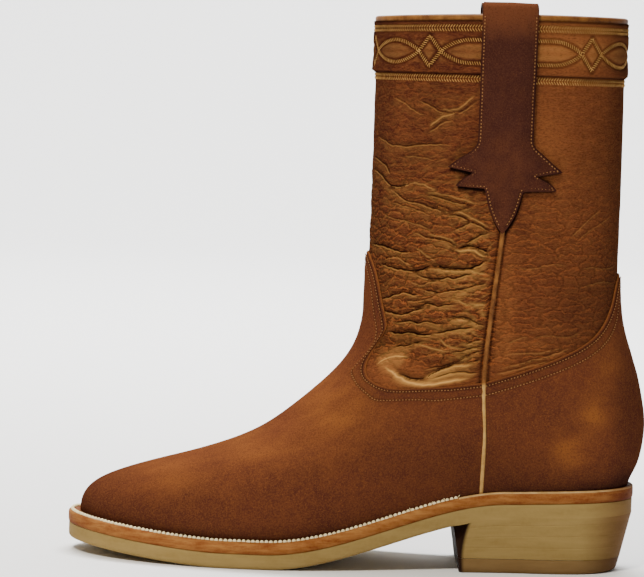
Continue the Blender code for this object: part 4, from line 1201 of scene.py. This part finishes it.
def make_band():
    """Collar band: padded ovals and diamonds between sunk stitch lines, zigzag rows at its top and foot."""
    along = np.linspace(0.0, PATTERN_AROUND, BAND_COLUMNS, endpoint=False)[None, :]
    up = np.linspace(-0.35, BAND_DEPTH / MM - 2.2, BAND_ROWS)[:, None]
    along, up = np.broadcast_arrays(along, up)
    nearest = np.full(along.shape, 9.0)
    for line in pattern_lines():
        for shift in (0.0, PATTERN_AROUND):
            where, distance, _ = path_distance(along, up, line + [shift, 0.0], 9.0)
            nearest[where] = np.minimum(nearest[where], np.abs(distance))
    inside = np.abs(up - PATTERN_MIDDLE)
    rows = np.abs(up - TOP_ROWS)
    height = BAND_OUT / MM - 0.7 * hump(nearest, 0.0, 1.0)
    height = height + 0.7 * smooth_step((nearest - 0.7) / 3.0)
    height = height - 0.5 * smooth_step((2.4 - rows) / 0.7)
    height = height * (0.35 + 0.65 * smooth_step(up / 1.1))
    height = height + 0.2 * gradient_noise(along / 7.0, up / 2.6, 81) * smooth_step((nearest - 0.8) / 1.0)
    # Painted shade in the sunk stitch lines, in the top rows' gutter, under the bead and at the band's foot,
    # and painted highlight on the padded middles
    dark = 0.5 * hump(nearest, 0.0, 0.9) + 0.45 * hump(nearest, 1.5, 0.5)
    dark = dark + 0.4 * smooth_step((2.1 - rows) / 0.5) + 0.8 * smooth_step((up - 27.5) / 0.8)
    dark = dark + 0.95 * hump(up, 0.0, 0.6) + 0.3 * hump(rows, 2.6, 0.7)
    wear_and_highlight = 0.3 * smooth_step((nearest - 1.6) / 1.5) * hump(inside, 2.5, 2.6)
    angle, rise = band_place(along, up)
    points = skin(angle, rise, height * MM)
    u, v = flat_place(angle, points)
    facts = shaft_facts(points, u, v, dark, wear_and_highlight)
    band = add_grid("collar_band_leather", points, SMOOTH, facts, closed=True, flip=True)
    settle(band, "smooth_leather", "collar_band")
    add_band_stitches()


def add_band_stitches():
    """Satin strokes across the wavy lines, and slanted ones in two rows at the band's top and foot."""
    starts, ends = [], []
    for line in pattern_lines():
        marks = resample(line, 1.25)
        ahead = np.roll(marks, -1, axis=0) - marks
        ahead[-1] = ahead[-2]
        ahead /= np.linalg.norm(ahead, axis=1, keepdims=True)
        across = np.column_stack([-ahead[:, 1], ahead[:, 0]]) + 0.45 * ahead
        starts.append(marks - across * 1.05)
        ends.append(marks + across * 1.05)
    along = np.arange(0.0, PATTERN_AROUND, 1.45)
    for middle in (TOP_ROWS, FOOT_ROWS):
        for offset, slant in ((-1.0, 0.55), (1.0, -0.55)):
            starts.append(np.column_stack([along - slant, np.full_like(along, middle + offset - 0.85)]))
            ends.append(np.column_stack([along + slant, np.full_like(along, middle + offset + 0.85)]))
    starts, ends = np.vstack(starts), np.vstack(ends)
    up = (starts[:, 1] + ends[:, 1]) / 2.0
    in_top_rows = np.abs(up - TOP_ROWS) < 1.5
    out = (0.1 + (up > 0.0) * (BAND_OUT / MM - 0.45) + 0.6 * in_top_rows) * MM
    first, last = skin(*band_place(*starts.T), out), skin(*band_place(*ends.T), out)
    lifts = normal(*band_place(*((starts + ends) / 2.0).T)) * 0.0003
    stitches = add_tube_set("collar_stitches", first, last, lifts, 0.00023, COLLAR_THREAD)
    settle(stitches, "tan_piping")


def make_bead():
    """Rolled binding over the collar's edge."""
    angle = np.linspace(0.0, math.tau, 480, endpoint=False)
    outer, inner = GAP + BINDING_LEATHER, -(UPPER_WALL + GAP + BINDING_LEATHER)
    middle, half = (outer + inner) / 2.0, (outer - inner) / 2.0
    section = [(outer - 0.0009, -BINDING_DEPTH), (outer - 0.0002, -BINDING_DEPTH + 0.0004), (outer, -0.0014)]
    for turn in np.radians(np.arange(0.0, 181.0, 20.0)):
        section.append((middle + half * math.cos(turn), 0.0012 * math.sin(turn) - 0.0002))
    section += [(inner, -0.0008), (inner, -BINDING_DEPTH)]
    wave = 0.00025 * gradient_noise(angle * 5.0, 0.0 * angle, 95)
    rows = []
    for out, up in section:
        rows.append(skin(angle, 1.0 + min(up, 0.0) / SHAFT_HEIGHT, out + wave) + [0.0, 0.0, max(up, 0.0)])
    points = np.stack(rows)
    u, v = flat_place(np.broadcast_to(angle, points.shape[:2]), points)
    facts = {"flat": np.stack([u, v, np.zeros_like(u)], axis=-1)}
    facts["shade"] = np.clip(0.6 * smooth_step((points[..., 0] / MM + 10.0) / 45.0), 0.0, 1.0)
    bead = add_grid("top_bead", points, BEAD, facts, closed=True)
    settle(bead, "tan_piping", "top_binding")


def make_lining():
    """Inner face of the shaft and the foot."""
    share = np.linspace(-1.0, 1.0, 160, endpoint=False)
    rows = []
    for row in np.linspace(0.02, 1.0, 40):
        angle, rise = foot_place(share, np.full_like(share, row))
        rows.append(skin(angle, rise, -UPPER_WALL - 0.0002))
    _, high, edge_rise = edge_of_foot(np.abs(share))
    for row in np.linspace(0.0, 1.0, 40)[1:]:
        angle = np.sign(share) * ((1.0 - row) * high + row * np.abs(share) * math.pi)
        rows.append(skin(angle, edge_rise + row * (0.997 - edge_rise), -UPPER_WALL - 0.0002))
    lining = add_grid("lining", np.stack(rows), LINING, closed=True, flip=True)
    settle(lining, "lining")


def make_side_seams():
    """Piping up both sides: tan over the rough-out leather, brown up the shaft."""
    _, _, step_rise = edge_of_foot(SEAM_SHARE)
    for side, word in ((1, "lateral"), (-1, "medial")):
        _, top = side_place(side, strap_x(side), COLLAR_Z - STRAP_LENGTH + 0.004)
        for part, low, high, material in (
            ("foot", 0.010, float(step_rise) - 0.001, PIPING),
            ("shaft", float(step_rise) - 0.003, float(top), SMOOTH_PIPING),
        ):
            rise = np.linspace(low, high, 160)[:, None]
            turn = np.linspace(0.0, math.pi, 14)[None, :]
            over_foot = 1.0 - smooth_step((rise - step_rise) / 0.012)
            lean = (strap_x(side) - STRAP_X) / (SHAFT_DEPTH / 2.0)
            lean = lean * smooth_step((rise - step_rise) / (top - step_rise))
            middle = side * (seam_angle(rise) + lean)
            uneven = gradient_noise(rise * 90.0, rise * 0.0 + 7.0 + side, 91)
            radius = (1.12 + 0.1 * uneven) * MM
            out = over_foot * (VAMP_OUT - 0.0004) + radius * np.sin(turn) * 0.95 - 0.0002
            sideways = shape(middle + 0.001, rise) - shape(middle - 0.001, rise)
            sideways /= np.linalg.norm(sideways, axis=-1, keepdims=True)
            points = shape(middle, rise) + normal(middle, rise) * out[..., None]
            points = points + sideways * (radius * np.cos(turn))[..., None]
            seam = add_grid(f"seam_{part}_{word}", points, material, flip=True)
            settle(seam, "tan_piping", *([f"side_seam_{word}"] if part == "foot" else []))


# The strap's stitches lie this many millimetres inside its edge
STRAP_STITCH_IN = 1.25
STRAP_STITCH_PITCH = 0.0018


def strap_half_width(down, column):
    """Half width in metres of the strap's sewn-down part, this share of its length down, on this side."""
    table = np.array(STRAP_OUTLINE)
    front, behind = (np.interp(down, table[:, 0], table[:, k]) for k in (1, 2))
    return np.where(column < 0.0, front, behind) * STRAP_WIDTH / 2.0


def strap_levels():
    """Shares of the strap's length down from the collar, close together where its leaf has its points."""
    levels = list(np.linspace(0.02, 0.55, 60))
    leaf = np.array(STRAP_OUTLINE)[:, 0]
    for low, high in zip(leaf, leaf[1:]):
        count = max(3, int((high - low) / 0.0035))
        levels += list(np.linspace(low, high, count, endpoint=False))
    return np.array(levels + [leaf[-1]])


def strap_place(side, down, column):
    """x and z on the strap's sewn-down part. column runs -1 to 1 across it, from front to back."""
    x = strap_x(side) + column * strap_half_width(down, column)
    leaf = smooth_step((down - 0.62) / 0.06) * smooth_step((0.83 - down) / 0.03)
    return x, COLLAR_Z - down * STRAP_LENGTH - LEAF_DROOP * leaf * np.clip(column, 0.0, None) ** 2


def strap_on_face(side, x, z, out):
    """Points of the strap's face over the shaft and the collar band."""
    over_band = smooth_step((z - (COLLAR_Z - BAND_DEPTH - 0.006)) / 0.004)
    angle, rise = side_place(side, x, z)
    lie = LAID_GAP + over_band * (GAP + BINDING_LEATHER)
    return skin(angle, rise, lie + out), normal(angle, rise)


def make_strap(side, word):
    """One pull strap: leaf and strip outside, loop over the collar and strip inside, with its stitches."""
    columns = np.linspace(-1.0, 1.0, 49)[None, :]
    down = strap_levels()[::-1][:, None]
    half = strap_half_width(down, columns)
    from_edge = (1.0 - np.abs(columns)) * half / MM
    round_off = 0.5 * (1.0 - smooth_step(from_edge / 0.9))
    groove = 0.35 * hump(from_edge, STRAP_STITCH_IN, 0.45)
    crumple = 0.25 * gradient_noise(down * 14.0, columns * 1.6 + side * 5.0, 93)
    height = STRAP_LEATHER + (crumple - round_off - groove) * MM
    outer = strap_rows(side, down, columns, height, STRAP_LEATHER - (round_off + groove)[0] * MM)
    inner = strap_rows(side, down, columns, np.zeros_like(height), np.zeros(columns.shape[1]))
    levels = np.concatenate([down[:, 0], np.zeros(len(outer) - len(down))])[:, None]
    across = np.broadcast_to(columns, outer.shape[:2])
    speckle = gradient_noise(outer[..., 0] / 0.005, outer[..., 2] / 0.008, 51 + side)
    # Painted light on the strap's loop over the collar; lighter down the middle of its lower part, over a
    # faint speckle
    tone = 0.12 * speckle + 0.75 * smooth_step((outer[..., 2] - 0.279) / 0.016)
    tone = tone + 0.2 * hump(across * 1.3, 0.0, 1.0) * smooth_step((levels - 0.5) / 0.08)
    shade = 0.7 * smooth_step((np.abs(across) - 0.94) / 0.06) + 0.2 * smooth_step((across - 0.2) / 0.8)
    facts = {"tone": np.clip(tone, 0.0, 1.0), "shade": np.clip(shade, 0.0, 1.0)}
    piece = add_grid(f"strap_{word}", outer, DARK_ROUGH, facts, flip=side < 0)
    settle(piece, "dark_leather", f"pull_strap_{word}")
    rims = [np.vstack([p[:, 0], p[-1, 1:], p[::-1, -1][1:], p[0, ::-1][1:]]) for p in (inner, outer)]
    edge = add_grid(f"strap_edge_{word}", np.stack(rims), DARK_CUT, closed=True, flip=side > 0)
    settle(edge, "dark_leather")
    make_strap_stitches(side, word)


def strap_rows(side, down, columns, height, loop_height):
    """Rows of one face of the strap, from its outer point to its end inside. height: over its inner face."""
    rows = list(strap_on_face(side, *strap_place(side, down, columns), height)[0])
    middle = strap_x(side)
    at_collar = np.full(columns.shape[1], COLLAR_Z)
    angle, _ = side_place(side, middle + columns[0] * STRAP_WIDTH / 2.0, at_collar)
    on_band, inside = LAID_GAP + GAP + BINDING_LEATHER, -(UPPER_WALL + GAP + BINDING_LEATHER + LAID_GAP)
    radius = (on_band - inside) / 2.0
    rim_z = float(shape(*side_place(side, middle, COLLAR_Z))[..., 2])
    loop_z = rim_z + STRAP_STAND - STRAP_LEATHER - radius
    rim, away = shape(angle, 1.0), normal(angle, 1.0)
    away[..., 2] = 0.0
    away /= np.linalg.norm(away, axis=-1, keepdims=True)
    for turn in np.radians(np.linspace(0.0, 180.0, 25)):
        out = (on_band + inside) / 2.0 + (radius + loop_height) * math.cos(turn)
        level = loop_z + (radius + loop_height) * math.sin(turn)
        rows.append(np.column_stack([(rim + out[:, None] * away)[:, :2], level]))
    for share in np.linspace(0.12, 1.0, 30):
        rows.append(skin(angle, 1.0 - share * STRAP_INSIDE / SHAFT_HEIGHT, inside - loop_height))
    return np.stack(rows)


def strap_outline_points(inset, side_column):
    """One side of the strap's outline moved in by inset metres: half widths and depths below the collar."""
    table = np.array(STRAP_OUTLINE)
    depth = np.concatenate([[0.0], table[:, 0]]) * STRAP_LENGTH
    half = np.concatenate([[1.0], table[:, 1 if side_column < 0 else 2]]) * STRAP_WIDTH / 2.0
    outline = np.column_stack([half, depth])
    ahead = np.diff(outline, axis=0)
    ahead /= np.linalg.norm(ahead, axis=1, keepdims=True)
    inward = np.column_stack([-ahead[:, 1], ahead[:, 0]])
    corner = inward[:-1] + inward[1:]
    corner /= np.maximum((corner * inward[1:]).sum(1, keepdims=True), 0.5)
    moved = outline + np.vstack([inward[:1], corner, inward[-1:]]) * inset
    widest = strap_half_width(moved[:, 1] / STRAP_LENGTH, side_column)
    return moved[(moved[:, 0] > 0.0003) & (widest > moved[:, 0] + 0.0004)]


def make_strap_stitches(side, word):
    """Running stitches inside the strap's edges and round its leaf."""
    rows = []
    for column in (-1.0, 1.0):
        path = strap_outline_points(STRAP_STITCH_IN * MM, column)
        rows.append(stitch_ends(path, STRAP_STITCH_PITCH, 0.5))
    places = []
    for front, behind in zip(*rows):
        half, depth = np.vstack([front, behind]).T
        column = np.repeat([-1.0, 1.0], [len(front), len(behind)])
        column = half * column / strap_half_width(depth / STRAP_LENGTH, column)
        x, z = strap_place(side, depth / STRAP_LENGTH, column)
        places.append(strap_on_face(side, x, z, STRAP_LEATHER - 0.0003))
    (first, up), (last, _) = places
    row = add_tube_set(f"strap_stitches_{word}", first, last, up * 0.00025, 0.0003, STRAP_THREAD)
    settle(row, "tan_piping")


def edge_outline(out, angle):
    """The sole's outline in plan, moved out by out metres."""
    step = 1e-4
    point = shape(angle, 0.0)
    along = shape(angle + step, 0.0) - shape(angle - step, 0.0)
    length = np.hypot(along[..., 0], along[..., 1])
    shares = spline_weights(STATIONS, (1.0 - np.cos(angle)) / 2.0) @ np.array(SOLE_REACH_SHARES)
    reach = shares * SOLE_REACH + out
    x = point[..., 0] + reach * along[..., 1] / length
    y = point[..., 1] - reach * along[..., 0] / length
    return np.stack([x, y], axis=-1)


SOLE_TURN = np.linspace(0.0, math.tau, 480, endpoint=False)
SOLE_TURN = np.where(SOLE_TURN > math.pi, SOLE_TURN - math.tau, SOLE_TURN)


def close_ring(ring, share):
    """The ring drawn in towards the line along its middle, to close a face."""
    mirror = ring[-np.arange(len(ring)) % len(ring)]
    return ring + share * ((ring + mirror) / 2.0 - ring)


def behind_breast(x):
    """0 forward of the heel, 1 over it."""
    return smooth_step((x - along_foot(BREAST)) / 0.004)


def sole_ring(out, height):
    """A ring of the sole's edge, moved out by out metres, at this height over the outsole's underside."""
    plan = edge_outline(out, SOLE_TURN)
    return np.column_stack([plan, sole_bottom(plan[:, 0]) + height])


def rounded_ring(inset, lift):
    """A ring near the outsole's lower edge, which is rounded forward of the heel and square over it."""
    full = edge_outline(0.0, SOLE_TURN)
    square = behind_breast(full[:, 0])
    plan = full * square[:, None] + edge_outline(-inset, SOLE_TURN) * (1.0 - square[:, None])
    return np.column_stack([plan, sole_bottom(plan[:, 0]) + lift * (1.0 - square)])


def sole_rings(base, *steps):
    """Rings of the sole's edge, each moved out and up from base by a pair of metres."""
    return np.stack([sole_ring(out, base + up) for out, up in steps])


def sole_facts(rings, dark_edge):
    """Darkness of a sole piece: its right end, and a rim or a foot as given for each ring."""
    x = rings[..., 0] / MM
    shade = 0.75 * smooth_step((x - 22.0) / 30.0) + 0.15 * smooth_step((-225.0 - x) / 20.0)
    return {"shade": np.clip(shade + np.array(dark_edge)[:, None], 0.0, 1.0)}


def make_sole():
    """Outsole, midsole and welt with rounded edges."""
    edge = ((0.0018, 0.0), (0.0008, 0.0003), (0.0002, 0.001), (0.0, 0.002))
    low = [rounded_ring(inset, lift) for inset, lift in edge]
    rings = [close_ring(low[0], share) for share in (0.999, 0.66, 0.33)] + low
    rings = np.vstack([rings, sole_rings(OUTSOLE, (0.0, -0.0002), (-0.0004, 0.0))])
    facts = sole_facts(rings, [0.0] * len(rings))
    piece = add_grid("outsole_rubber", rings, SOLE, facts, closed=True, flat_angle=50)
    settle(piece, "sole_rubber", "outsole")
    steps = ((-0.0004, 0.0), (0.0001, 0.0003), (0.0003, 0.001), (0.0004, 0.002), (0.0004, MIDSOLE + 0.0004))
    rings = sole_rings(OUTSOLE, *steps)
    facts = sole_facts(rings, [0.5, 0.45, 0.35, 0.25, 0.1])
    settle(add_grid("midsole_leather", rings, EDGE, facts, closed=True), "edge_leather", "midsole")
    base = OUTSOLE + GAP + MIDSOLE
    top = base + GAP + WELT
    upper_edge = ((0.0003, -0.0009), (-0.0002, -0.0003), (-0.0010, 0.0), (-0.0030, 0.0), (-0.0085, -0.0002))
    rings = np.vstack([sole_rings(base, (0.0003, 0.0), (0.0004, 0.001)), sole_rings(top, *upper_edge)])
    facts = sole_facts(rings, [0.1, 0.0, 0.0, 0.0, 0.0, 0.3, 0.6])
    settle(add_grid("welt_leather", rings, EDGE, facts, closed=True), "edge_leather", "welt")
    make_rope_stitch(top)
    make_seat_edge(top)


ROPE_IN = 0.0016
ROPE_PITCH = 0.0024
ROPE_RADIUS = 0.00098
TAILS = ((0.992, 0.6), (0.965, -0.4), (0.94, 0.3), (0.9, -0.5), (0.86, 0.5))


def make_rope_stitch(top):
    """Thick white lockstitch along the welt, from the heel breast round the toe to its other side."""
    breast = along_foot(BREAST) + 0.004
    limit = float(angle_of((breast - TOE_X) / FOOT_LENGTH))
    angle = np.linspace(-limit, limit, 1600)
    plan = edge_outline(-ROPE_IN, angle)
    path = np.column_stack([plan, sole_bottom(plan[:, 0]) + top - 0.0001])
    starts, ends = stitch_ends(path, ROPE_PITCH, 7 / 8)
    random = np.random.default_rng(5)
    ends = ends + random.normal(0.0, 0.00008, ends.shape)
    lifts = np.tile([0.0, 0.0, 0.00045], (len(starts), 1))
    settings = {"sides": 10, "plump": 0.9}
    rope = add_tube_set("welt_rope_stitch", starts, ends, lifts, ROPE_RADIUS, WHITE_THREAD, **settings)
    settle(rope, "edge_leather")
    tails = []
    for share, lean in TAILS:
        for side in (1.0, -1.0):
            x, y = edge_outline(-0.0014, side * limit * share)
            place = np.array([x, y, float(sole_bottom(x)) + top + 0.0003])
            tails.append((place, place + np.array([0.0012 * lean, -0.0004 * side, 0.0014])))
    first, last = (np.array([pair[k] for pair in tails]) for k in (0, 1))
    lifts = np.tile([0.0, 0.0, 0.0001], (len(tails), 1))
    settle(add_tube_set("thread_tails", first, last, lifts, 0.0003, WHITE_THREAD), "edge_leather")


def make_seat_edge(top):
    """Painted highlight: a pale strip along the top edge of the welt round the heel, where that edge catches
    the light.
    """
    start = float(angle_of((along_foot(BREAST) + 0.002 - TOE_X) / FOOT_LENGTH))
    angle = np.linspace(start, math.tau - start, 320)
    rows = []
    for out, up in ((0.0003, -0.0007), (0.0002, -0.0003), (-0.0003, 0.0001), (-0.0009, 0.0002)):
        plan = edge_outline(out, np.where(angle > math.pi, angle - math.tau, angle))
        rows.append(np.column_stack([plan, sole_bottom(plan[:, 0]) + top + up]))
    rows = np.stack(rows)
    facts = sole_facts(rows, [0.1, 0.0, 0.0, 0.3])
    settle(add_grid("seat_edge", rows, SEAT_EDGE_HIGHLIGHT, facts), "edge_leather")


# Points along the heel's wall and each scooped corner, shares of its faint lines down from the seat,
# and the top lift's edge as height over the floor and inset in millimetres
HEEL_WALL = 150
HEEL_SCOOP = 14
LAYER_LINES = (0.16, 0.44, 0.72)
LIFT_EDGE = ((7.8, 0.2), (7.5, 0.0), (2.2, 0.0), (1.0, 0.5), (0.2, 1.4), (0.0, 2.2))


def heel_outline(drop, out=0.0):
    """Outline of the heel in plan: a scoop at the lateral corner, the wall, the medial scoop.

    drop runs from 0 at the outsole to 1 at the floor, and out moves the outline outwards.
    """
    cut = CORNER_CUT_LOW + (CORNER_CUT_TOP - CORNER_CUT_LOW) * (1.0 - drop) ** 2
    breast = along_foot(BREAST)
    start = float(angle_of((breast + cut - TOE_X) / FOOT_LENGTH))
    turn = np.linspace(start, math.tau - start, HEEL_WALL)
    wall = edge_outline(out, np.where(turn > math.pi, turn - math.tau, turn))
    scoop = np.radians(np.linspace(90.0, 4.0, HEEL_SCOOP))
    forward, inward = cut * (1.0 - np.cos(scoop)), cut * 1.3 * np.sin(scoop)
    lateral = np.stack([wall[0, 0] - forward, wall[0, 1] + inward], axis=-1)
    medial = np.stack([wall[-1, 0] - forward, wall[-1, 1] - inward], axis=-1)
    plan = np.vstack([lateral, wall, medial[::-1]])
    back = plan[:, 0].max()
    share = np.clip((plan[:, 0] - breast) / (back - breast), 0.0, 1.0)
    plan[:, 0] += drop * (BREAST_TAPER * (1.0 - share) - BACK_TAPER * share)
    plan[:, 1] *= 1.0 - drop * SIDE_TAPER / (HEEL_WIDTH / 2.0)
    return plan


def heel_facts(rings):
    """Darkness of the heel: painted shade in the breast's recess under the outsole over its darker dye, and
    its shaded right end.
    """
    x = rings[..., 0] / MM
    # Painted shade over the breast's scooped corners, which lie under the outsole
    breast = np.zeros(rings.shape[1])
    breast[: HEEL_SCOOP + 1] = 1.0
    breast[-HEEL_SCOOP - 1 :] = 1.0
    shade = 0.9 * smooth_step((x - 20.0) / 28.0)
    return {"shade": np.clip(shade, 0.0, 1.0), "dye_and_shade": np.broadcast_to(breast, x.shape)}


def make_heel():
    """Heel block with faint layer lines, and the top lift."""
    floor_drop = 1.0 - TOP_LIFT / HEEL_HEIGHT
    rings = []
    for share in np.linspace(0.0, 1.0, 100):
        line = sum(hump(share, at, 0.01) for at in LAYER_LINES)
        plan = heel_outline(share * floor_drop, 0.00005 - 0.00014 * line)
        top = sole_bottom(plan[:, 0]) + 0.0002
        rings.append(np.column_stack([plan, (1.0 - share) * top + share * (TOP_LIFT + 0.0001)]))
    rings = np.stack(rings)
    heel = add_grid("heel_rubber", rings, SOLE, heel_facts(rings), closed=True, flip=True, flat_angle=40)
    settle(heel, "sole_rubber", "heel_block")
    rings = []
    for height, inset in LIFT_EDGE:
        plan = heel_outline(1.0 - height * MM / HEEL_HEIGHT, -inset * MM)
        rings.append(np.column_stack([plan, np.full(len(plan), height * MM)]))
    lowest = rings[-1]
    centre = lowest.mean(axis=0)
    rings += [centre + (lowest - centre) * share for share in (0.5, 0.001)]
    rings = np.stack(rings)
    lift = add_grid("top_lift_rubber", rings, LIFT, heel_facts(rings), closed=True, flip=True, flat_angle=40)
    settle(lift, "lift_rubber", "top_lift")


def make_insole():
    """Insole seen through the collar."""
    outline = skin(SOLE_TURN, 0.0, -(UPPER_WALL + 0.0008))
    ring = np.column_stack([outline[:, :2], seat_height(outline[:, 0]) + INSOLE])
    rings = [ring] + [close_ring(ring, s) for s in (0.3, 0.6, 0.9, 0.999)]
    settle(add_grid("insole_leather", np.stack(rings), LINING, closed=True), "lining", "insole")


# Stage


STAGE_REACH = 6.0
CURVE_START = 2.5
CURVE_RADIUS = 1.2
BACKDROP_HEIGHT = 5.0
WORLD_COLOUR = (1.0, 0.97, 0.93, 1.0)
WORLD_STRENGTH = 0.24
BOOT_MIDDLE = (-0.09, 0.0, 0.13)
BACKDROP_MIDDLE = (-0.1, 3.0, 0.4)
LIGHTS = (
    # name, place, size, power, colour, aim
    ("key", (-0.75, -1.6, 2.1), 0.4, 66.0, (1.0, 0.94, 0.83), BOOT_MIDDLE),
    ("top", (-0.6, 0.2, 2.1), 0.7, 12.0, (1.0, 0.96, 0.9), BOOT_MIDDLE),
    ("back", (-0.1, 1.1, 2.6), 1.6, 270.0, (1.0, 1.0, 1.0), BACKDROP_MIDDLE),
)


def make_stage():
    """Pale floor curving up into a backdrop, camera at the photograph's angle, and soft lights."""
    finish = Finish("backdrop", 0.95, Specular_IOR_Level=0.0)
    finish.shader.inputs["Base Color"].default_value = (0.9, 0.9, 0.9, 1.0)
    across = np.array([-STAGE_REACH, STAGE_REACH])
    turn = np.radians(np.linspace(0.0, 90.0, 24))
    curve, wall = CURVE_START + CURVE_RADIUS * np.sin(turn), CURVE_START + CURVE_RADIUS
    depth = np.concatenate([[-STAGE_REACH, 0.0, 2.3], curve, [wall]])
    height = np.concatenate([[0.0, 0.0, 0.0], CURVE_RADIUS - CURVE_RADIUS * np.cos(turn), [BACKDROP_HEIGHT]])
    rows = [np.column_stack([across, np.full(2, d), np.full(2, h)]) for d, h in zip(depth, height)]
    backdrop = add_grid("backdrop", np.stack(rows), finish.material)
    world = bpy.data.worlds.new("studio")
    bpy.context.scene.world = world
    world.use_nodes = True
    glow = world.node_tree.nodes["Background"].inputs
    glow["Color"].default_value = WORLD_COLOUR
    glow["Strength"].default_value = WORLD_STRENGTH
    for light in LIGHTS:
        add_light(*light)
    add_camera()


def add_light(name, place, size, power, colour, aim):
    """A square area light turned to a place."""
    light = bpy.data.lights.new(name, "AREA")
    light.size = size
    light.energy = power
    light.color = colour
    lamp = bpy.data.objects.new(name, light)
    lamp.location = place
    lamp.rotation_euler = (Vector(aim) - Vector(place)).to_track_quat("-Z", "Y").to_euler()
    bpy.context.scene.collection.objects.link(lamp)


CAMERA_PLACE = Vector((-0.1178, -1.9, 0.2882))
CAMERA_PITCH = math.radians(4.3)
CAMERA_ROLL = math.radians(2.0)
CAMERA_LENS = 199.1


def add_camera():
    """Camera of the photograph: nearly level, 1.9 m off the lateral side, rolled by 2 degrees."""
    ahead = Vector((0.0, math.cos(CAMERA_PITCH), -math.sin(CAMERA_PITCH)))
    right = Vector((1.0, 0.0, 0.0))
    up = right.cross(ahead)
    rolled_right = right * math.cos(CAMERA_ROLL) + up * math.sin(CAMERA_ROLL)
    rolled_up = up * math.cos(CAMERA_ROLL) - right * math.sin(CAMERA_ROLL)
    data = bpy.data.cameras.new("camera")
    data.sensor_width = 36.0
    data.lens = CAMERA_LENS
    camera = bpy.data.objects.new("camera", data)
    bpy.context.scene.collection.objects.link(camera)
    turn = Matrix((rolled_right, rolled_up, -ahead)).transposed().to_4x4()
    camera.matrix_world = Matrix.Translation(CAMERA_PLACE) @ turn
    bpy.context.scene.camera = camera


make_shaft()
make_foot()
make_band()
make_bead()
make_lining()
make_side_seams()
for side, word in ((1, "lateral"), (-1, "medial")):
    make_strap(side, word)
make_sole()
make_heel()
make_insole()
make_stage()
